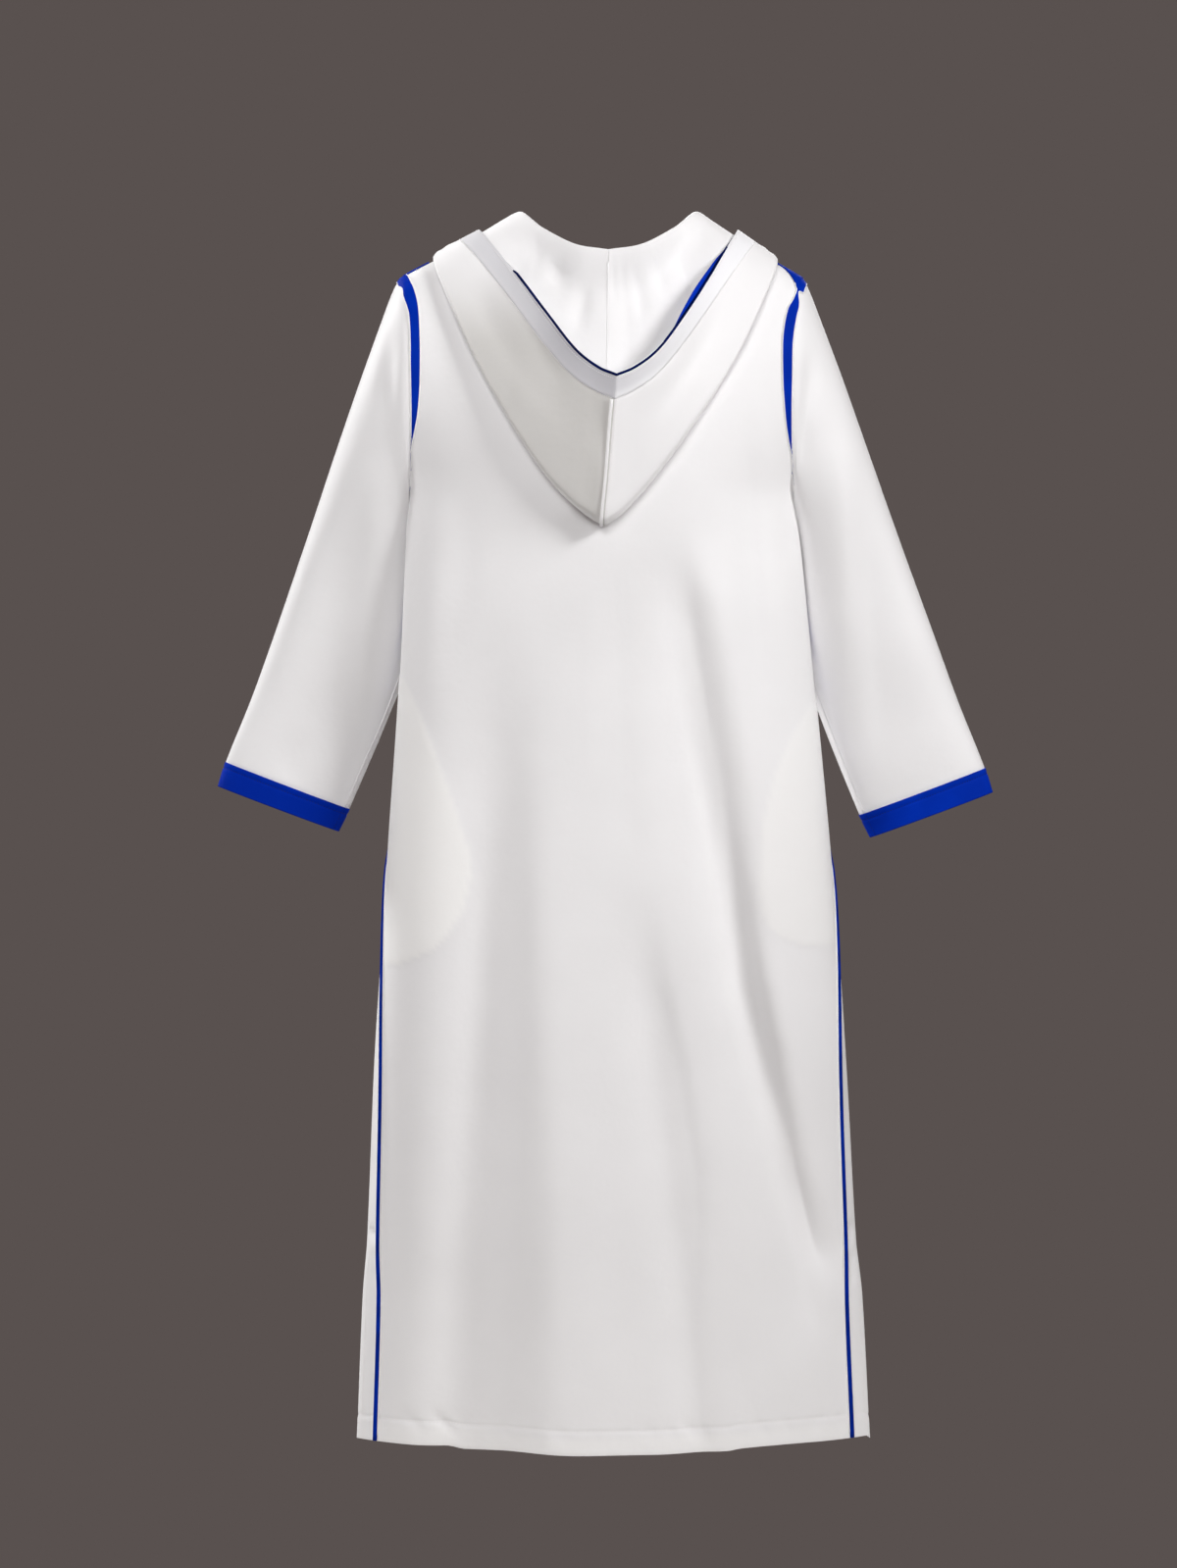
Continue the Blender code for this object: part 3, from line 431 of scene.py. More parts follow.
sideLines = tableRows("drop piping seam",
    (308, -0.018, -0.065), (400, -0.06, -0.18), (550, -0.07, -0.28), (700, -0.04, -0.26),
    (800, 0.13, -0.12), (950, 0.272, 0), (1154, 0.325, 0), (1215, 0.381, 0), (1378, 0.392, 0),
    plain="piping seam")

# Large folds: valleys whose middle runs from one place to another.
largeFolds = dict(growth=0.35, fade=0.12, rim=0.6)
backFolds = tableRows("top foot acrossTop acrossFoot depth left right",
    (340, 1300, 40, 240, 13, 50, 26), (450, 1600, -125, -165, 12, 46, 42), (720, 1500, 20, 118, 7, 34, 24))
frontFolds = tableRows("top foot acrossTop acrossFoot depth left right",
    (300, 1600, 90, 150, 11, 45, 40), (450, 1600, -60, -130, 12, 30, 45), (700, 1600, 10, 12, 7, 30, 30))


# How much the hem hangs higher (+) or lower at places across the robe.
hemWave = tableRows("x back front",
    (-300, 0, 0), (-250, 1, -0.8), (-192, 1.6, 1), (-180, 1.4, 1.4), (-164, -1.6, 1.2), (-106, 3.8, -1),
    (-20, 3.6, 0.6), (60, 2.2, 1.6), (133, 3, -1.2), (147, 5, -0.8), (200, 5.8, 0.4), (250, 4.6, 1),
    (300, 3.6, 2.4))


def foldPush(folds, across, drop):
    push = np.zeros(np.broadcast(across, drop).shape)
    for fold in folds:
        part = (drop - fold["top"]) / (fold["foot"] - fold["top"])
        inside = np.clip(part, 0.0, 1.0)
        away = across - (fold["acrossTop"] + (fold["acrossFoot"] - fold["acrossTop"]) * inside)
        width = np.where(away < 0, fold["left"], fold["right"])
        swell = smoothStep(inside / largeFolds["growth"]) * smoothStep((1.0 - inside) / largeFolds["fade"])
        offset = (away / width) ** 2
        push += fold["depth"] * swell * (1.0 - largeFolds["rim"] * offset) * np.exp(-offset)
    return push


# How much squarer than an ellipse the sections are.
bodySquare, sleeveSquare = 0.18, 0.30


def bodyPoints(angle, drop):
    angle, drop = matched(angle, drop)
    row = readTable(bodyRows, "drop", drop)
    facing = np.cos(angle)
    x = row["lean"] + row["halfWidth"] * np.sin(angle)
    squarer = 1.0 - bodySquare * smoothStep((drop - body["chestDrop"]) / 0.15)
    depth = row["depth"] * np.abs(facing) ** (2.0 * row["power"] * squarer)
    push = np.where(facing > 0, foldPush(backFolds, x, drop), foldPush(frontFolds, x, drop))
    depth = depth - push * smoothStep(np.abs(facing) / 0.45)
    parting = body["slitParting"] * smoothStep((drop - body["slitDrop"]) / body["slitFade"])
    parting = parting * smoothStep(1.0 - np.abs(facing) / 0.6)
    wave = readTable(hemWave, "x", x)
    lift = np.where(facing > 0, wave["back"], wave["front"])
    lift = lift * smoothStep(np.abs(facing) / 0.2) * smoothStep((drop - 1.24) / 0.13)
    return np.stack([x, np.where(facing > 0, -depth - parting, depth + parting), lift - drop], axis=-1)


def armholePoints(down, depth, side):
    first = bodyRows[0]
    width = body["shoulderHalfWidth"] + (first["halfWidth"] - body["shoulderHalfWidth"]) * down
    width = width - body["armholeHollow"] * np.sin(pi * down)
    middle = (body["shoulderDrop"] + body["chestDrop"]) / 2
    reach = (body["chestDrop"] - body["shoulderDrop"]) / 2
    return np.stack([first["lean"] + side * width, depth * np.sin(pi * down),
                     -middle + reach * np.cos(pi * down)], axis=-1)


def neckPlaces(part, front):
    part = np.clip(part, 0.0, 1.0)
    if front:
        drop = body["neckFrontDrop"] + (body["neckSideDrop"] - body["neckFrontDrop"]) * part ** 1.15
        return body["neckFrontDepth"] * (1.0 - part ** 2) ** 0.6, drop
    roundPart = (1.0 - part ** 2) ** 0.5
    drop = body["neckSideDrop"] + (body["neckBackDrop"] - body["neckSideDrop"]) * roundPart
    return -body["neckBackDepth"] * roundPart, drop


def topLine(share, front):
    x = np.abs(share) * body["shoulderHalfWidth"]
    neckY, neckDrop = neckPlaces(x / body["neckHalfWidth"], front)
    width = body["shoulderHalfWidth"] - body["neckHalfWidth"]
    part = np.clip((x - body["neckHalfWidth"]) / width, 0.0, 1.0) ** body["shoulderCurve"]
    fall = body["neckSideDrop"] + (body["shoulderDrop"] - body["neckSideDrop"]) * part
    inside = x < body["neckHalfWidth"]
    return np.where(inside, neckY, 0.0), np.where(inside, -neckDrop, -fall)


def upperPoints(share, down, front):
    share, down = matched(share, down)
    side = np.where(share < 0, -1.0, 1.0)
    facing = 1.0 if front else -1.0
    ring = armholePoints(down, facing * (body["armholeFront"] if front else body["armholeBack"]), side)
    neckY, neckDrop = neckPlaces(0.0, front)
    sunk = (1.0 - np.cos(pi * down)) / 2
    centreY = neckY + facing * (body["upperBackDepth"] - abs(neckY)) * (1.0 - (1.0 - sunk) ** 2)
    steep = body["neckSteepness"] * (1.0 - smoothStep((np.abs(share) - 0.25) / 0.45))
    centreZ = -neckDrop - (body["chestDrop"] - neckDrop) * (steep * down + (1.0 - steep) * sunk)
    reach = np.abs(ring[..., 1] / centreY)
    section = np.maximum(1.0 - (1.0 - reach ** 2) * share ** 2, 0.0) ** 0.5
    crown = (section - reach) / (1.0 - reach)
    edgeY, edgeZ = topLine(share, front)
    startY = neckY * crown
    startZ = -body["shoulderDrop"] + (body["shoulderDrop"] - neckDrop) * crown
    y = centreY * section + (edgeY - startY) * (1.0 - np.sin(pi * down / 2)) ** 1.5
    z = ring[..., 2] + (centreZ - ring[..., 2]) * crown + (edgeZ - startZ) * np.cos(pi * down / 2) ** 2
    lean = bodyRows[0]["lean"] * (1.0 - (1.0 - down) * (1.0 - np.abs(share)))
    x = lean + np.abs(share) * (ring[..., 0] - bodyRows[0]["lean"])
    return np.stack([x, y, z], axis=-1)


def sideAngle(drop, line, offset=0.0):
    angle = pi / 2 - readTable(sideLines, "drop", drop)[line]
    if np.any(offset):
        step = 0.004
        pace = np.linalg.norm(bodyPoints(angle - step, drop) - bodyPoints(angle, drop), axis=-1) / step
        angle = angle - offset / pace
    return angle


panelGrid = dict(neckColumns=16, shoulderColumns=34, upperRows=60, lowerStep=0.0046, hemStep=0.0016)


def panelShares():
    neck = body["neckHalfWidth"] / body["shoulderHalfWidth"]
    inner = np.linspace(0.0, 1.0, panelGrid["neckColumns"] + 1)
    outer = np.linspace(0.0, 1.0, panelGrid["shoulderColumns"] + 1)
    half = np.concatenate([neck * (0.5 * inner + 0.5 * np.sin(pi / 2 * inner)),
                           neck + (1.0 - neck) * np.sin(pi / 2 * outer)[1:]])
    return np.concatenate([-half[:0:-1], half])


def lowerDrops():
    start, reach = body["chestDrop"], 0.006  # finer rows this far above and below the hem's sewn line
    rows = int((hemLine - reach - start) / panelGrid["lowerStep"]) + 1
    coarse = np.linspace(start, hemLine - reach, rows)
    fine = np.arange(hemLine - reach + panelGrid["hemStep"], hemLine + reach, panelGrid["hemStep"])
    return np.concatenate([coarse, fine, np.linspace(hemLine + 0.0072, body["hemDrop"], 6)])


# Fine creases, in millimetres: depth, reach to the left and right, then places passed, as (x, drop).
panelCreases = dict(
    back=[
        crease(10, 26, 20, (70, 350), (81, 415), (103, 524), (125, 633), (138, 741), (149, 850), (176, 959),
               (208, 1068), (223, 1112), (237, 1152), (248, 1188), (255, 1215), growth=0.12, fade=0.07),
        crease(-5.5, 17, 32, (104, 350), (115, 415), (138, 524), (160, 633), (173, 741), (184, 850),
               (210, 959), (234, 1068), growth=0.12, fade=0.25),
        crease(-3, 22, 22, (76, 524), (100, 687), (110, 850), (128, 959), growth=0.4, fade=0.4),
        crease(10, 46, 50, (-120, 400), (-125, 458), (-129, 633), (-131, 850), (-140, 1014), (-158, 1177),
               (-165, 1378), (-165, 1500), growth=0.25, fade=0.05),
        crease(-18, 44, 64, (-66, 400), (-64, 654), (-57, 850), (-49, 1014), (-46, 1177), (-49, 1378),
               (-49, 1500), growth=0.75, fade=0.05),
        crease(2.5, 20, 12, (12, 350), (14, 500), (18, 650), (34, 760)),
        crease(6, 28, 14, (32, 720), (52, 850), (76, 959), (95, 1068), (97, 1177), (105, 1300), growth=0.3),
        crease(-0.8, 4, 4, (-18, 355), (-19, 524), (-19, 698)),
        crease(4.5, 32, 13, (153, 180), (160, 328), (167, 458), (170, 560)),
        crease(2, 20, 16, (-150, 290), (-165, 420), (-190, 540)),
        crease(7, 30, 15, (200, 1020), (217, 1090), (233, 1140), (251, 1195), growth=0.6, fade=0.35),
        # The bed on which the folded hood lies.
        crease(-10, 56, 30, (-140, 110), (-105, 185), (-80, 230), (-50, 270), (-20, 300), (5, 325),
               growth=0.5, fade=0.15, shape=1.5),
        crease(-4, 20, 36, (-196, 270), (-199, 360), (-205, 500), (-212, 620), growth=0.25, fade=0.5),
    ],
    front=[
        crease(6, 36, 22, (-120, 300), (-100, 520), (-85, 800), (-95, 1080)),
        crease(6, 28, 44, (60, 380), (50, 640), (66, 940), (92, 1240), (100, 1500)),
        crease(4, 16, 26, (180, 340), (160, 560), (176, 820)),
        crease(5, 26, 22, (-200, 700), (-186, 930), (-205, 1180), (-210, 1500)),
        crease(3, 14, 18, (0, 250), (4, 430), (-4, 560)),
        crease(2, 12, 16, (-170, 180), (-110, 260), (-60, 300)),
    ])


# Where the pocket bags lie behind the back panel: the inner edge of each, from top to foot.
pocketOutlines = {
    -1: tableRows("drop x",
        (500, -262), (513, -231), (550, -213), (589, -197), (654, -173), (705, -157), (735, -154),
        (774, -163), (803, -182), (818, -197), (834, -235), (840, -270)),
    1: tableRows("drop x",
        (530, 252), (545, 228), (578, 206), (622, 185), (676, 172), (742, 167), (770, 170), (790, 178),
        (803, 192), (812, 216), (818, 250)),
}


# The share of the doubled cloth's colour where a pocket bag or the turned-up hem shows through.
doubledShares = dict(leftPocket=0.75, rightPocket=0.50, hem=0.35)
pocketRelief = 0.0009


def pocketShare(x, drop):
    total = np.zeros_like(x)
    for side, rows in pocketOutlines.items():
        edge = np.interp(drop, [row["drop"] for row in rows], [row["x"] for row in rows])
        inside = smoothStep(side * (x - edge) / 0.007 + 0.5)
        inside = inside * smoothStep((drop - rows[0]["drop"]) / 0.010)
        total += inside * smoothStep((rows[-1]["drop"] - drop) / 0.008)
    return total


hem = dict(grooveDepth=0.0005, grooveWidth=0.0022, raised=0.0003)
pucker = dict(reach=0.011, strength=1.6)

# Puckers where the hem is sewn, in millimetres: place across, slant, depth and width.
hemPuckers = dict(
    back=[(-262, 4, 1.1, 7), (-238, -3, 0.7, 6), (-221, 6, 1.2, 8), (-187, 8, 2.2, 7), (-166, -4, 1, 6),
        (-139, 3, 0.8, 8), (-118, 5, 1.2, 7), (-81, -5, 0.7, 6), (-52, 4, 1, 9), (-14, 3, 0.6, 6),
        (11, -6, 0.9, 7), (47, 4, 1.2, 8), (66, 5, 1, 6), (92, 7, 1.4, 7), (104, 6, 0.9, 6),
        (131, -3, 0.7, 8), (170, 5, 1.1, 7), (199, 4, 0.8, 6), (234, -5, 1.2, 8), (259, 3, 0.7, 6)],
    front=[(-244, 4, 1, 7), (-201, -5, 1.2, 8), (-176, 3, 0.7, 6), (-132, 6, 1.1, 9), (-94, -4, 0.8, 6),
        (-58, 5, 1.3, 7), (-21, 4, 0.7, 6), (19, -6, 1, 8), (43, 3, 0.8, 6), (88, 5, 1.2, 7),
        (117, -4, 0.7, 6), (158, 6, 1.1, 9), (190, 3, 0.8, 6), (231, -5, 1.2, 7)])


def puckerHem(x, drop, front):
    below = (drop - hemLine) / pucker["reach"]
    push = np.zeros_like(x)
    for place, slant, depth, width in np.array(hemPuckers["front" if front else "back"]) / 1000:
        push += depth * np.exp(-(((x - place - slant * below) / width) ** 2))
    return push * np.exp(-(below ** 2)) * pucker["strength"]


def shapeHem(points, normals, drop):
    groove = -hem["grooveDepth"] * np.exp(-((drop - hemLine) / hem["grooveWidth"]) ** 2)
    raised = hem["raised"] * smoothStep((drop - hemLine) / 0.006)
    return points + normals * (groove + raised)[:, None, None]


def evenChest(points, row):
    reach = 16
    rows = np.arange(row - reach, row + reach)
    share = 0.5 * smoothStep(edgeSteps(points.shape[1]) / 4.0)[None, :, None]
    share = share * (1.0 - (np.abs(rows - row) / reach)[:, None, None] ** 2)
    for _ in range(40):
        middle = (points[rows - 1] + points[rows + 1]) / 2
        points[rows] += (middle - points[rows]) * share
    return points


def makePanel(front):
    shares = panelShares()
    downs = np.linspace(0.0, 1.0, panelGrid["upperRows"] + 1)[:-1]
    drops = lowerDrops()
    last = pi - sideAngle(drops, "seam") if front else sideAngle(drops, "piping", seamGap)
    turns = last[:, None] * (2 / pi) * np.arcsin(shares)
    points = np.concatenate([upperPoints(shares, downs[:, None], front),
                             bodyPoints(pi - turns if front else turns, drops[:, None])])
    points = evenChest(points, len(downs))
    normals = pointAlong(gridNormals(points), (0.0, 1.0 if front else -1.0, 0.0))
    x, drop = xAndDrop(points)
    push = creasePush(x, drop, panelCreases["front" if front else "back"]) + puckerHem(x, drop, front)
    if not front:
        push = push - pocketRelief * pocketShare(x, drop)
    points = points - normals * (push * smoothStep(edgeSteps(len(shares)) / 3.0))[..., None]
    points = shapeHem(points, normals, np.concatenate([0.0 * downs, drops]))
    name, node = ("frontPanel", "front_panel") if front else ("backPanel", "back_panel")
    item = addSheet(name, 0, points, satin, body["wall"], node, flip=not front)
    if not front:
        x, drop = xAndDrop(points)
        shown = np.where(x < 0, doubledShares["leftPocket"], doubledShares["rightPocket"])
        turned = doubledShares["hem"] * smoothStep((drop - hemLine) / 0.010)
        setDoubledAndShade(item, pocketShare(x, drop) * shown + turned)
    return item, points, normals


backPanel, backPoints, backNormals = makePanel(False)
frontPanel, frontPoints, frontNormals = makePanel(True)
print("panels made")


goreCreases = {
    -1: [
        crease(5.5, 5, 7, (-276, 1136), (-266, 1146), (-255, 1152)),
        crease(3, 5, 6, (-272, 1160), (-264, 1176), (-262, 1200)),
        crease(2, 8, 6, (-270, 980), (-264, 1040), (-268, 1110)),
    ],
    1: [
        crease(5.5, 7, 5, (284, 1128), (274, 1142), (262, 1162)),
        crease(3, 5, 5, (280, 1160), (276, 1180), (277, 1206)),
        crease(2.2, 6, 9, (262, 900), (270, 980), (268, 1060)),
    ],
}


def anglesBetween(first, last, count, side):
    return side * (first[:, None] + (last - first)[:, None] * np.linspace(0.0, 1.0, count))


def makeGore(side):
    drops = lowerDrops()
    turns = anglesBetween(sideAngle(drops, "piping", -seamGap), sideAngle(drops, "seam"), 15, side)
    points = bodyPoints(turns, drops[:, None])
    normals = pointAlong(gridNormals(points), (side, 0.0, 0.0))
    push = creasePush(*xAndDrop(points), goreCreases[side]) * np.sin(np.linspace(0.0, pi, 15)) ** 0.5
    points = shapeHem(points - normals * push[..., None], normals, drops)
    item = addSheet("sideGore", side, points, satin, body["wall"], "side_gore_", flip=side > 0)
    return item, points, normals


gores = {side: makeGore(side) for side in (-1, 1)}


sidePiping = dict(radius=0.0029, lift=0.0004, sunk=0.0026, edgeRadius=0.0008, edgeOffset=0.0037)


def makeSidePiping(side):
    drops = np.linspace(0.334, body["hemDrop"] - 0.0005, 190)
    lift = sidePiping["lift"] - sidePiping["sunk"] * (1.0 - smoothStep((drops - 0.690) / 0.040))[:, None]
    angle = side * sideAngle(drops, "piping")
    places = bodyPoints(angle, drops)
    beside = unit(bodyPoints(angle + 0.01, drops) - bodyPoints(angle - 0.01, drops))
    outward = unit(np.cross(beside, np.gradient(places, axis=0)))
    outward = outward * np.sign(outward[:, 0] * side)[:, None]
    ending = sideNames[side]
    addTube("sidePiping" + ending, places + outward * lift, sidePiping["radius"], cordCloth,
            "side_piping_" + ending.lower(), sides=12)
    for place, end in (("Inner", 1.0), ("Outer", -1.0)):
        centres = places + beside * (end * sidePiping["edgeOffset"]) + outward * np.minimum(lift, 0.0004)
        addTube(f"sidePiping{place}Edge{ending}", centres[1:-1], sidePiping["edgeRadius"], satin)


for side in (-1, 1):
    makeSidePiping(side)
print("gores and side pipings made")


# Sleeves, with the armhole band at their start and the cuff at their end

sleeve = dict(length=0.622, cuffHeight=0.030, cuffWall=0.0018, cuffLift=0.0008, wall=0.0012,
              tilt=0.0035, columns=72, rows=112, seamColumn=68)
cuffStart = sleeve["length"] - sleeve["cuffHeight"]

sleeveRows = tableRows("along upperX upperDrop underX underDrop forward depth upperLean underLean",
    (0, 229.6, 55, 221.5, 308, 0, 62, -7.8, -7.8), (12, 236, 65, 221.5, 310.5, 1, 63, -7.8, -7.8),
    (36, 246, 88, 220, 320, 7, 66, -7.8, -7.5), (104, 270.5, 152, 221.5, 341, 24, 69, -7.2, -6.6),
    (205, 305, 247, 223, 374, 38, 69, -6.5, -5), (318, 343, 353, 223, 424, 49, 65, -5, -3.5),
    (422, 378, 451, 226.5, 487, 54, 57, -3.5, -2), (511, 408.5, 535, 254.5, 566, 54, 45, -3, -3),
    (591, 438, 609, 294.5, 663, 50, 33, -3, -4), (622, 447, 638, 307.5, 690, 49, 30, -3, -4))

sleeveCreases = {
    -1: dict(
        back=[
            crease(6, 34, 28, (-299, 265), (-303, 365), (-310, 465), (-314, 566), (-319, 640), growth=0.4,
                   fade=0.25),
            crease(-5, 20, 22, (-254, 243), (-259, 354), (-268, 454), (-276, 543), (-283, 621), growth=0.3,
                   fade=0.3),
            crease(4, 10, 10, (-247, 110), (-250, 170), (-252, 230), growth=0.4, fade=0.4),
            crease(2, 14, 18, (-345, 560), (-365, 600), (-372, 640), growth=0.5, fade=0.4),
        ],
        front=[
            crease(5, 26, 20, (-262, 150), (-284, 330), (-320, 520)),
            crease(3, 14, 18, (-330, 420), (-352, 520), (-368, 600)),
            crease(4, 12, 14, (-240, 330), (-262, 420), (-280, 470)),
        ]),
    1: dict(
        back=[
            crease(-5, 20, 20, (258, 209), (265, 321), (274, 454), (285, 588), growth=0.3, fade=0.4),
            crease(5, 16, 34, (285, 276), (301, 410), (312, 543), (323, 633), growth=0.4, fade=0.3),
            crease(5, 10, 8, (229, 132), (227, 199), (220, 255), (209, 290), growth=0.4, fade=0.3),
        ],
        front=[
            crease(5, 20, 28, (250, 170), (280, 360), (300, 520)),
            crease(4, 14, 12, (235, 340), (256, 410), (262, 470)),
            crease(2, 16, 12, (340, 500), (352, 570), (356, 620)),
        ]),
}


def sleevePoints(turn, along, side):
    turn, along = matched(turn, along)
    row = readTable(sleeveRows, "along", along)
    squarer = 1.0 - sleeveSquare * smoothStep(along / 0.12)

    def ringAt(data, forward, square=1.0):
        middleX, reachX = ((data["upperX"] + end * data["underX"]) / 2 for end in (1, -1))
        middleZ, reachZ = (-(data["upperDrop"] + end * data["underDrop"]) / 2 for end in (1, -1))
        return np.stack([middleX + reachX * np.cos(turn),
                         forward - data["depth"] * np.sign(np.sin(turn)) * np.abs(np.sin(turn)) ** square,
                         middleZ + reachZ * np.cos(turn)], axis=-1)
    points = ringAt(row, row["forward"], squarer)
    back = np.sin(turn) > 0
    ring = armholePoints(np.abs(turn) / pi, np.where(back, -body["armholeBack"], body["armholeFront"]), 1.0)
    ring[..., 0] -= bodyRows[0]["lean"]
    fitted = np.maximum(1.0 - along / 0.16, 0.0) ** 2
    points = points + (ring - ringAt(sleeveRows[0], 0.0)) * fitted[..., None]
    lean = row["underLean"] + (row["upperLean"] - row["underLean"]) * (1.0 + np.cos(turn)) / 2
    tilt = side * sleeve["tilt"] * smoothStep(along / sleeve["length"])
    return np.stack([side * points[..., 0] + lean, points[..., 1], points[..., 2] - tilt], axis=-1)


def sleeveGrid(side, start, end, rows, lift=0.0):
    turns = np.linspace(-pi, pi, sleeve["columns"] + 1)
    alongs = np.linspace(start, end, rows + 1)
    points = sleevePoints(turns, alongs[:, None], side)
    normals = pointAlong(gridNormals(points, closed=True), points - points.mean(axis=1, keepdims=True))
    return points + normals * lift, normals, turns, alongs


def makeSleeve(side):
    points, normals, turns, alongs = sleeveGrid(side, 0.0, cuffStart, sleeve["rows"])
    push = sum(creasePush(*xAndDrop(points), sleeveCreases[side][face])
               * smoothStep(facing * np.sin(turns) / 0.25)
               for face, facing in (("back", 1.0), ("front", -1.0)))
    points = points - normals * (push * smoothStep(edgeSteps(len(alongs)) / 3.0)[:, None])[..., None]
    item = addSheet("sleeve", side, points, satin, sleeve["wall"], "sleeve_", flip=side < 0, closed=True)
    seam = sleeve["seamColumn"]
    addTube("sleeveSeam" + sideNames[side], points[14:, seam] + normals[14:, seam] * 0.0002, 0.0008, satin)
    return item


cuffSeam = dict(along=0.0065, width=0.0016, depth=0.0006)


def makeCuff(side):
    points, normals, _, alongs = sleeveGrid(side, cuffStart, sleeve["length"], 24, sleeve["cuffLift"])
    away = (alongs - cuffStart - cuffSeam["along"]) / cuffSeam["width"]
    groove = cuffSeam["depth"] * np.exp(-away ** 2)
    points = points - normals * groove[:, None, None]
    addSheet("cuff", side, points, ribbon, sleeve["cuffWall"], "cuff_", flip=side < 0, closed=True)
    return points, normals


# How far the armhole band reaches over the panel and over the sleeve, down the back of each side.
bandReaches = {
    -1: tableRows("down panel sleeve",
        (0, 6.2, 6.8), (0.09, 6.6, 7.8), (0.145, 7.8, 3.4), (0.19, 9.6, 4), (0.29, 12.2, -1),
        (0.5, 10.6, 0.8), (0.59, 7.8, 0.6), (0.65, 3.6, 0.4), (0.69, 0.8, 0.4), (1, 0.8, 0.6),
        plain="down"),
    1: tableRows("down panel sleeve",
        (0, 0.8, 10.4), (0.075, 0.8, 10.4), (0.09, 4.2, 10), (0.15, 3.6, 8.6), (0.172, 1.4, 1.6),
        (0.23, 4, 5.6), (0.28, 9, 3.6), (0.38, 12.6, -0.2), (0.5, 11.2, 0.8), (0.6, 8, 0.6),
        (0.67, 4.4, 0.4), (0.73, 0.8, 0.4), (1, 0.8, 0.6), plain="down"),
}
frontBandReaches = tableRows("down panel sleeve",
    (0, 5, 5), (0.4, 8, 1), (0.75, 6, 1), (1, 1, 0.6), plain="down")


# Turned edge of the white cloth beside the band.
bandEdgeRadius = 0.0007


def makeArmholeBand(side):
    turns = np.linspace(-pi, pi, 289)
    downs = np.abs(turns) / pi
    back = readTable(bandReaches[side], "down", downs)
    front = readTable(frontBandReaches, "down", downs)
    weight = smoothStep(np.sin(turns) / 0.3 * 0.5 + 0.5)
    panel, beyond = (front[key] + (back[key] - front[key]) * weight for key in ("panel", "sleeve"))
    reach = -panel + (panel + beyond) * np.linspace(0.0, 1.0, 9)[:, None]
    shares = side * (1.0 + np.minimum(reach, 0.0) / 0.22)
    onPanel = np.where((turns < 0)[None, :, None], upperPoints(shares, downs, True),
                       upperPoints(shares, downs, False))
    points = np.where((reach < 0)[..., None], onPanel, sleevePoints(turns, np.maximum(reach, 0.0), side))
    points[:, -1] = points[:, 0]
    normals = gridNormals(points, closed=True)
    middle = points.mean(axis=1, keepdims=True) - np.array([side * 0.03, 0.0, 0.0])
    normals = normals * np.sign(((points - middle) * normals).sum(axis=-1, keepdims=True))
    addSheet("armholeBand", side, points + normals * 0.0010, ribbon, 0.0008, "armhole_band_", flip=side < 0,
             closed=True)
    for row, end in ((0, "Panel"), (-1, "Sleeve")):
        addTube(f"armhole{end}Edge{sideNames[side]}", points[row, 4:-4] + normals[row, 4:-4] * 0.0008,
                bandEdgeRadius, satin)


sleeves, cuffs = {}, {}
for side in (-1, 1):
    sleeves[side] = makeSleeve(side)
    makeArmholeBand(side)
    cuffs[side] = makeCuff(side)
print("sleeves made")


# Hood

hood = dict(wall=0.0012, clearance=0.0075, foldRadius=0.0029, ridgeRadius=0.0026, turnLead=0.005,
            puff=0.014, bandWidth=0.025, pipingRadius=0.0015)

hoodRidge = tableRows("around x y drop shift",
    (0, 0, -76, 35, 0), (0.2, 38, -68, 27.5, 0), (0.4, 75, -42, 5, 0), (0.6, 103, 0, -20, 0),
    (0.68, 95, 44, 0, 0), (0.75, 80, 70, 27, 0), (0.88, 46, 100, 77, 0),
    (1, 3.5, 112, 128, 0), plain="around")
hoodFold = tableRows("around x y drop shift",
    (0, 0, -120, 346.3, -5), (0.08, 22, -120, 332, -6), (0.2, 60, -120, 292, -7.5),
    (0.33, 101, -110, 233, -5), (0.46, 144, -85, 160, -3.5), (0.54, 176, -50, 90, -3),
    (0.6, 199, 0, 30, -2.5), (0.68, 166, 58, 68, 0), (0.75, 128, 92, 112, 0), (0.88, 68, 112, 166, 0),
    (1, 3.5, 120, 212, 0), plain="around")
hoodEdge = tableRows("around x y drop shift",
    (0, 0, -140, 184, 8.5), (0.08, 20, -137, 175, 8.5), (0.2, 46, -130, 154, 8.5), (0.33, 74, -110, 116, 8),
    (0.46, 109, -77, 62, 6), (0.54, 131, -42, 25, 3), (0.6, 150, 0, -4, 0), (0.68, 133, 60, 20, 0),
    (0.75, 106, 92, 58, 0), (0.88, 58, 120, 112, 0), (1, 3.5, 130, 156, 0), plain="around")


def panelTree():
    mesh = meshFrom("body", bendGrid(backPoints))
    both = bendGrid(frontPoints)
    both.from_mesh(mesh)
    bpy.data.meshes.remove(mesh)
    tree = BVHTree.FromBMesh(both)
    both.free()
    return tree


bodyTree = panelTree()


def bodyOutward(place, normal):
    outward = Vector((place.x, place.y, place.z + 0.2))
    return normal if normal.dot(outward) > 0 else -normal


def liftFrom(point, least):
    place, normal, _, _ = bodyTree.find_nearest(point)
    normal = bodyOutward(place, normal)
    height = (point - place).dot(normal)
    return point + normal * max(least - height, 0.0)


def layOn(point, height):
    place, normal, _, _ = bodyTree.find_nearest(point)
    return place + bodyOutward(place, normal) * height


def rowPoint(rows, around, side):
    row = readTable(rows, "around", around)
    return Vector((side * row["x"] + row["shift"], row["y"], -row["drop"]))


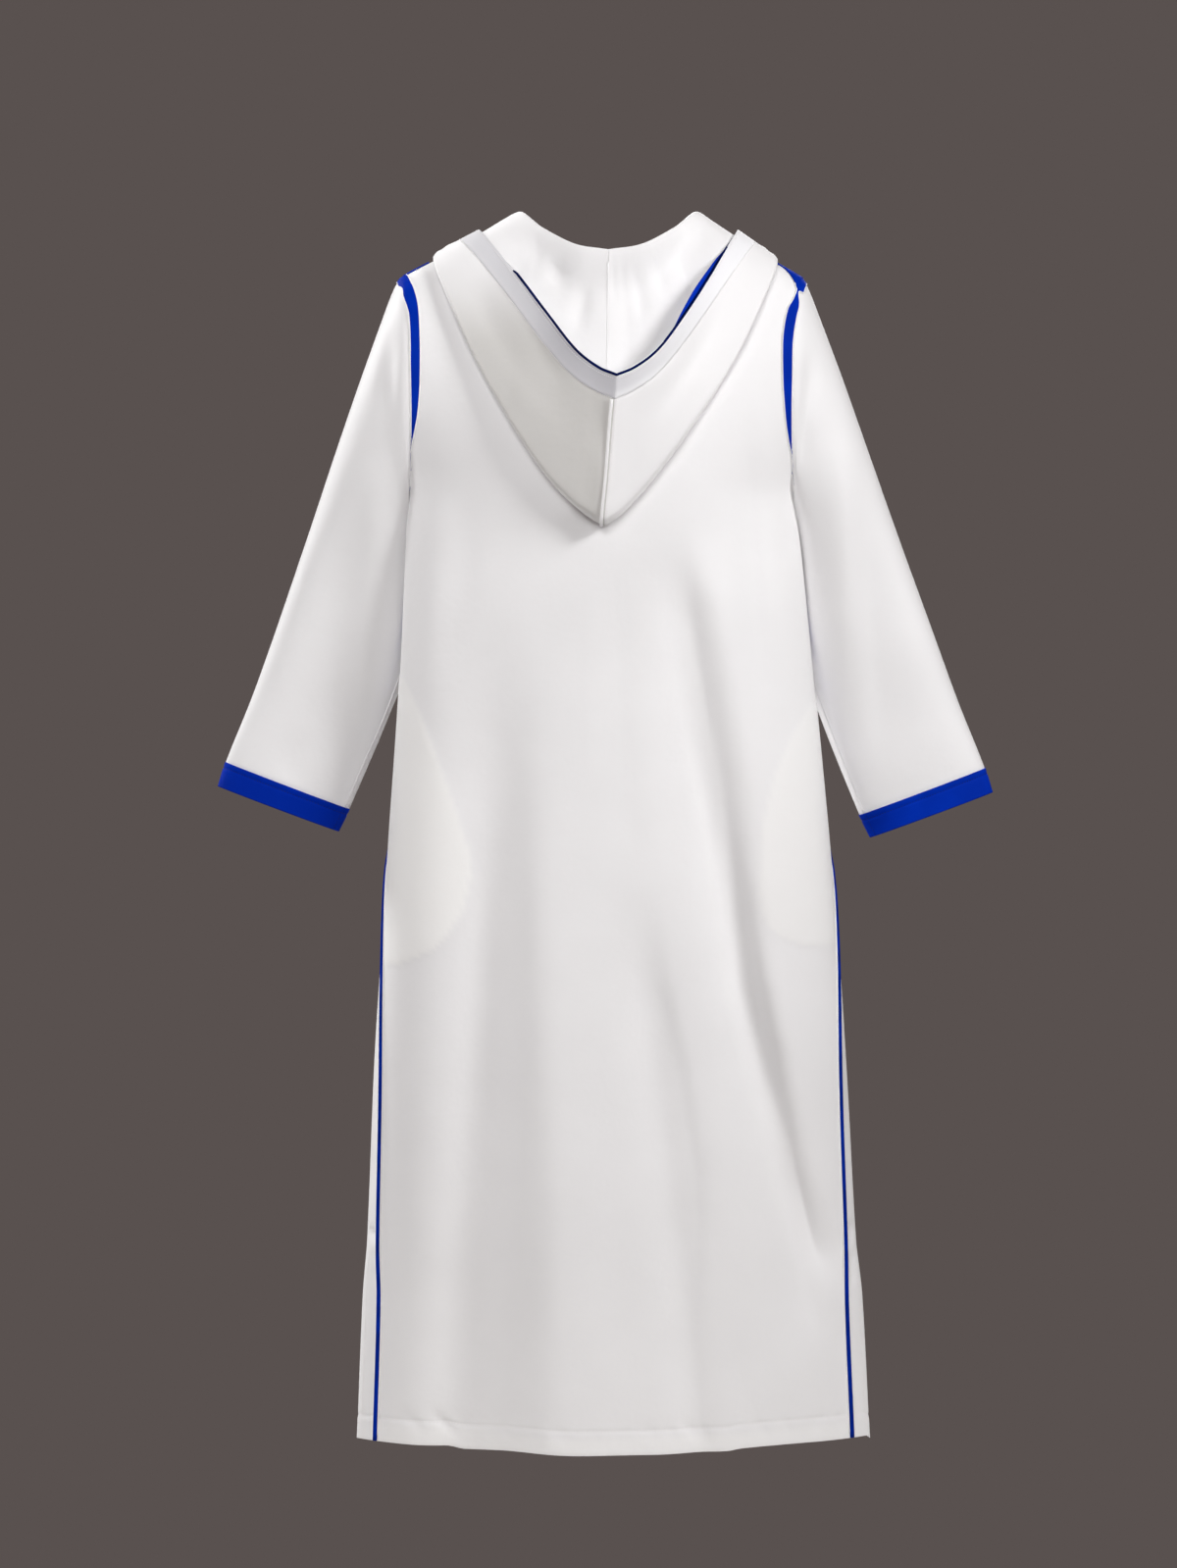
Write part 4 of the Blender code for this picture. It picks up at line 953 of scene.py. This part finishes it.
def hoodNeck(around, side):
    front = around > 0.6
    part = 1.0 - ((around - 0.6) / 0.4) ** 1.2 * 0.93 if front else sin(pi / 2 * around / 0.6)
    share = part * body["neckHalfWidth"] / body["shoulderHalfWidth"]
    return Vector(upperPoints(side * max(share, 1e-6), 0.0, front))


def hoodSection(around, side):
    neck = hoodNeck(around, side)
    ridge, fold, edge = (rowPoint(rows, around, side) for rows in (hoodRidge, hoodFold, hoodEdge))
    radius = hood["foldRadius"] * (1.0 - 0.4 * smoothStep((around - 0.35) / 0.25))
    puff = hood["puff"] * smoothStep((around - 0.38) / 0.22) * smoothStep((0.85 - around) / 0.25)
    inner = hood["clearance"] + 0.002 * smoothStep((around - 0.40) / 0.15)
    if side > 0:
        pressed = smoothStep(around / 0.12) * smoothStep((0.52 - around) / 0.12)
        inner, radius = inner - 0.0040 * pressed, radius * (1.0 - 0.20 * pressed)
    outer = inner + 2 * radius
    foldFoot = layOn(fold, inner)
    run = (foldFoot - ridge).length
    turnStart, turnLead = 1.0 - radius / run, 1.0 - (radius + hood["turnLead"]) / run
    across = Vector((fold.x - neck.x, fold.y - neck.y, 0.0)).normalized() * hood["ridgeRadius"]
    controls = [neck + Vector((0.0, 0.0, 0.0006)), neck.lerp(ridge - across, 0.6),
                ridge - across, ridge + across]
    for part, share in ((0.16, 1.0), (0.42, 0.3), (0.70, 0.0), (turnLead, 0.0), (turnStart, 0.0)):
        controls.append(layOn(ridge.lerp(foldFoot, part), inner + puff * share))
    controls.append(layOn(fold, inner + radius))
    controls += [layOn(ridge.lerp(foldFoot, part), outer) for part in (turnStart, turnLead)]
    turned = controls[-1]
    start = edge - (edge - turned).normalized() * min(hood["bandWidth"], (edge - turned).length * 0.6)
    for place in (turned.lerp(start, 0.35), turned.lerp(start, 0.70), start, edge):
        controls.append(liftFrom(place, outer))
    return controls


def splinePoint(points, index, part):
    start, end = points[index], points[index + 1]
    before, after = points[max(index - 1, 0)], points[min(index + 2, len(points) - 1)]
    span = max((end - start).length, 1e-6)
    slopeStart = (end - before) / max((start - before).length + span, 1e-6) * span
    slopeEnd = (after - start) / max((after - end).length + span, 1e-6) * span
    return curveValue(part, start, slopeStart, end, slopeEnd)


# How many faces each stretch of the hood's section has, from the neck to the edge.
hoodStretches = [5, 4, 4, 4, 6, 7, 6, 2, 4, 4, 3, 8, 8, 6, 8]
ridgeColumn, foldColumn, hoodBandColumn = (sum(hoodStretches[:end]) for end in (3, 9, -1))


def hoodGrid(side):
    arounds = np.concatenate([np.linspace(0.0, 0.6, 61), np.linspace(0.6, 1.0, 37)[1:]])
    rows = []
    for around in arounds:
        controls = hoodSection(around, side)
        row = [splinePoint(controls, index, k / count)
               for index, count in enumerate(hoodStretches) for k in range(count)]
        rows.append(row + [controls[-1]])
    points = np.array([[tuple(point) for point in row] for row in rows])
    share = 0.5 * smoothStep((arounds[1:-1] - 0.47) / 0.05) * smoothStep((0.99 - arounds[1:-1]) / 0.05)
    for _ in range(6):
        points[1:-1] += ((points[:-2] + points[2:]) / 2 - points[1:-1]) * share[:, None, None]
    normals = gridNormals(points) * side
    return points, normals, arounds


hoodRelief = dict(height=0.0130, reach={-1: 0.17, 1: 0.55})
hoodCreases = {
    -1: dict(
        outer=[
            crease(2.6, 14, 20, (-177, 50), (-158, 74), (-138, 102), (-117, 137), (-87, 185), (-57, 223),
                   growth=0.25, fade=0.5),
            crease(1.6, 3, 3, (-163, 27), (-158, 36), (-152, 47)),
            crease(1.4, 3, 2, (-155, 24), (-149, 34), (-141, 45)),
            crease(2, 12, 10, (-100, 110), (-70, 160), (-40, 200)),
        ],
        inner=[
            crease(5, 6, 8, (-26, 41), (-50, 54), (-76, 66)),
            crease(-3, 6, 6, (-18, 44), (-36, 58), (-56, 72)),
            crease(4, 12, 9, (-20, 70), (-30, 100), (-34, 130)),
            crease(3, 9, 14, (-64, 30), (-52, 58), (-48, 90)),
        ]),
    1: dict(
        outer=[
            crease(3, 18, 12, (150, 60), (110, 130), (60, 210), (30, 260), growth=0.4, fade=0.4),
            crease(1.5, 6, 8, (30, 190), (60, 170), (90, 130)),
        ],
        inner=[
            crease(3.5, 4, 5, (2, 40), (5, 60), (6, 90)),
            crease(3, 4, 6, (11, 38), (14, 56), (15, 80)),
            crease(3.5, 6, 10, (21, 36), (34, 82), (39, 120)),
            crease(3, 8, 10, (36, 32), (56, 60), (66, 90)),
        ]),
}


# How far the piping is tucked under the edge, and how wide the tape beside it shows.
hoodPiping = {
    -1: tableRows("around tucked tape",
        (0, 0, 0), (0.46, 0, 0), (0.5, 1, 0), (0.62, 1, 0), (0.68, 0, 0), (1, 0, 0), plain="around tucked"),
    1: tableRows("around tucked tape",
        (0, 0, 0), (0.27, 0, 0), (0.34, 0, 6), (0.4, 0, 9), (0.48, 0, 6.2), (0.55, 0.3, 0), (0.62, 0.6, 0),
        (0.68, 0, 0), (1, 0, 0), plain="around tucked"),
}


def creaseHood(points, arounds, side):
    columns = np.arange(points.shape[1])
    outer = smoothStep((columns - foldColumn) / 8.0)
    inner = smoothStep((columns - ridgeColumn) / 6.0) * smoothStep((foldColumn - columns) / 6.0)
    relief = hoodRelief["height"] * np.exp(-arounds / hoodRelief["reach"][side])
    relief = relief * smoothStep((0.56 - arounds) / 0.3)
    x, drop = xAndDrop(points)
    push = creasePush(x, drop, hoodCreases[side]["outer"]) * outer
    push = push + creasePush(x, drop, hoodCreases[side]["inner"]) * inner
    push = push * (smoothStep(arounds / 0.02) * smoothStep((0.58 - arounds) / 0.06))[:, None]
    points[..., 1] += push - outer * relief[:, None]
    return points


def makeHoodHalf(side):
    points, _, arounds = hoodGrid(side)
    points = creaseHood(points, arounds, side)
    normals = -gridNormals(points) * side
    cut, ending = hoodBandColumn, sideNames[side]
    half = addSheet("hood", side, points[:, :cut + 1], satin if side > 0 else satinPaintedShade,
                    hood["wall"], "hood_", flip=side > 0)
    if side < 0:
        # Painted shade: on the left half the outer layer mixes toward the greyer colour more and more down
        # the back.
        outer = smoothStep((np.arange(cut + 1) - foldColumn + hoodStretches[8]) / 6.0)
        setDoubledAndShade(half, outer * smoothStep((-points[:, :cut + 1, 2] - 0.03) / 0.12))
    band = addSheet("hoodBand", side, points[:, cut:] + normals[:, cut:] * 0.0003, satinOverBlue, 0.0018,
                    "hood_band_", flip=side > 0)
    # The band is whiter on the right half, more so toward the front; on the left it stays grey low on the
    # back and whitens a little toward the front. Near its inner edge it turns whiter, much more on the
    # right.
    whiterShare = (0.45 + 0.50 * smoothStep(arounds / 0.30) if side > 0
             else 0.40 * smoothStep((arounds - 0.25) / 0.25))
    faded = (1.0 - smoothStep(np.arange(points.shape[1] - cut) / 4.0)) * (0.9 if side > 0 else 0.15)
    setDoubledAndShade(band, whiterShare[:, None] + (1.0 - whiterShare[:, None]) * faded)
    edge, outward = points[:, -1], normals[:, -1]
    ahead = unit(points[:, -1] - points[:, -2])
    piping, radius = readTable(hoodPiping[side], "around", arounds), hood["pipingRadius"]
    tucked, wide = piping["tucked"][:, None], piping["tape"][:, None]
    centres = edge + (ahead * (1.0 - 5.0 * tucked) - outward * tucked * 2.0) * radius - outward * 0.0004
    # The hood's piping is drawn in the cord with painted shade.
    addTube("hoodPiping" + ending, centres[:-1], radius, paintedShadeCord,
            "hood_piping_" + ending.lower(), sides=12)
    lip = edge + ahead * (2.4 * radius * (1.0 - tucked)) - outward * 0.0008
    addTube("hoodLip" + ending, lip[2:60 if side < 0 else 24], 0.0006, satin)
    seen = np.nonzero(wide[:, 0] > 0.0002)[0]
    if len(seen):
        tape = [edge + ahead * wide * share - outward * (0.0009 + 0.002 * share)
                for share in (-0.4, 0.0, 0.4, 0.7, 1.0)]
        addSheet("hoodTape", side, np.stack(tape, axis=1)[seen[0]:seen[-1] + 1], ribbon, 0.0006,
                 flip=side > 0)
    return half, band, points, normals


hoods = {side: makeHoodHalf(side) for side in (-1, 1)}


def makeHoodSeams():
    points, normals = hoods[1][2][0], hoods[1][3][0]
    outer, inner = slice(foldColumn + 1, hoodBandColumn + 1), slice(ridgeColumn + 1, foldColumn - 8)
    addTube("hoodSeam", points[outer] + normals[outer] * 0.0002 + np.array([-0.0034, 0.0004, 0.0]),
            0.0017, satin, sides=10)
    addTube("hoodBackSeam", points[inner] + np.array([0.0, -0.0010, 0.0]), 0.0009, satin, sides=10)
    return points[outer] + normals[outer] * 0.0006 + np.array([0.0022, 0.0, 0.0]), normals[outer]


hoodSeamLine = makeHoodSeams()
print("hood made")


# Shoulder strips and pocket bags

strips = {-1: dict(start=0.862, end=0.985, spread=0.010, growth=2.0),
          1: dict(start=0.870, end=1.000, spread=0.150, growth=1.5)}


def makeStrip(side):
    strip = strips[side]
    parts = np.linspace(0.0, 1.0, 17)
    shares = side * (strip["start"] + (strip["end"] - strip["start"]) * parts)
    rows = []
    for share, reach in zip(shares, 0.02 + strip["spread"] * parts ** strip["growth"]):
        row = [upperPoints(share, down, False) for down in np.linspace(reach, 0.0, 9)]
        row += [upperPoints(share, down, True) for down in np.linspace(0.0, 0.03, 4)[1:]]
        rows.append(row)
    points = np.array(rows)
    normals = pointAlong(gridNormals(points), (0.0, 0.0, 1.0))
    addSheet("shoulderStrip", side, points + normals * 0.0018, ribbon, 0.0012, "shoulder_strip_",
             flip=side > 0)


pockets = {-1: dict(top=0.520, foot=0.842, width=0.084, area=0.020),
           1: dict(top=0.545, foot=0.822, width=0.076, area=0.012)}


def makePocketBag(side):
    pocket = pockets[side]
    parts = np.linspace(0.0, 1.0, 31)
    drops = pocket["top"] + (pocket["foot"] - pocket["top"]) * parts
    widths = pocket["width"] * np.maximum(np.sin(pi * np.minimum(parts, 0.93) ** 1.5), 0.28)
    first, last = (sideAngle(drops, "piping", 0.012 + width) for width in (0.0, widths))
    points = bodyPoints(anglesBetween(first, last, 11, side), drops[:, None])
    normals = pointAlong(gridNormals(points), (0.0, -1.0, 0.0))
    push = 0.0045 + np.maximum(creasePush(*xAndDrop(points), panelCreases["back"]), 0.0)
    return addSheet("pocketBag", side, points - normals * push[..., None], satin, 0.0012, "pocket_bag_",
                    flip=side < 0)


for side in (-1, 1):
    makeStrip(side)
    makePocketBag(side)
print("strips and pockets made")


# Stitches

hemStitch = dict(pitch=0.0034, width=0.0006, height=0.0004, length=0.0022, lift=0.0001)
seamStitch = dict(pitch=0.0026, width=0.0006, height=0.0005, length=0.0016, lift=0.0001)
cuffStitch = dict(pitch=0.0034, width=0.0007, height=0.0005, length=0.0022, lift=0.0001)


def rowLine(points, normals, row):
    return points[row, 1:-1], normals[row, 1:-1]


def sewHem():
    hemRow, slitRow = (int(np.argmin(np.abs(lowerDrops() - drop)))
                       for drop in (hemLine, body["slitDrop"] + 0.012))
    panelRow = panelGrid["upperRows"] + hemRow
    lines = [rowLine(backPoints, backNormals, panelRow), rowLine(frontPoints, frontNormals, panelRow)]
    level = np.full(5, hemLine)
    for side in (-1, 1):
        _, points, normals = gores[side]
        lines.append(rowLine(points, normals, hemRow))
        lines.append((points[slitRow:hemRow + 1, 7], normals[slitRow:hemRow + 1, 7]))
        places = bodyPoints(side * (sideAngle(level, "piping") + np.linspace(-0.010, 0.010, 5)), level)
        outward = unit(places * np.array([1.0, 1.0, 0.0]))
        lines.append((places + outward * (sidePiping["lift"] + sidePiping["radius"]), outward))
    addStitches("hemStitches", lines, hemStitch, whiteThread)


def sewCuffs():
    lines = []
    for points, normals in cuffs.values():
        columns = points.shape[1]
        lines.append(gridSpots(points, normals, 5.2, np.linspace(1.0, columns - 2.0, 141)))
        lines.append(gridSpots(points, normals, np.linspace(1.0, 23.0, 25), columns - 5.5))
    addStitches("cuffStitches", lines, cuffStitch, blueThread)


def sewHood():
    lines = [hoodSeamLine]
    for _, _, points, normals in hoods.values():
        for column in (hoodBandColumn, -2):
            outward = normals[1:-1, column]
            lines.append((points[1:-1, column] + outward * 0.0006, outward))
    addStitches("hoodStitches", lines, seamStitch, whiteThread)


sewHem()
sewCuffs()
sewHood()
print("stitches made")


# Stage, light and camera

def addStage():
    bm = bmesh.new()
    bmesh.ops.create_circle(bm, cap_ends=True, segments=96, radius=stageSettings["floorRadius"],
                            matrix=Matrix.Translation((0.0, 0.0, stageSettings["floorHeight"])))
    mesh = meshFrom("floor", bm)
    material, tree = newMaterial("paleFloorPaint")
    shader = addNode(tree, "ShaderNodeBsdfPrincipled",
                     {"Base Color": toLinear(stageSettings["floorColour"]), "Roughness": 0.8})
    addNode(tree, "ShaderNodeOutputMaterial", links={"Surface": shader.outputs["BSDF"]})
    mesh.materials.append(material)
    addItem("floor", mesh)


def addLights():
    for light in lights:
        data = bpy.data.lights.new(light["name"], "AREA")
        data.shape = "DISK"
        data.size = light["size"]
        data.energy = light["power"]
        data.spread = light["spread"] * pi / 180
        item = addItem(light["name"], data)
        item.location = light["place"]
        toRobe = Vector((0.0, 0.0, light["aim"])) - item.location
        item.rotation_euler = toRobe.to_track_quat("-Z", "Y").to_euler()
    world = bpy.data.worlds.new("studio")
    world.use_nodes = True
    backdrop = world.node_tree.nodes["Background"]
    backdrop.inputs["Color"].default_value = toLinear(stageSettings["backdropColour"])
    bpy.context.scene.world = world


def addCamera():
    data = bpy.data.cameras.new("camera")
    data.lens = camera["lens"]
    data.sensor_width = camera["sensor"]
    data.clip_end = 50.0
    item = addItem("camera", data)
    item.location = camera["place"]
    item.rotation_euler = (pi / 2, 0.0, 0.0)
    bpy.context.scene.camera = item


addStage()
addLights()
addCamera()
bpy.context.scene.view_settings.view_transform = "Standard"
print("stage made")
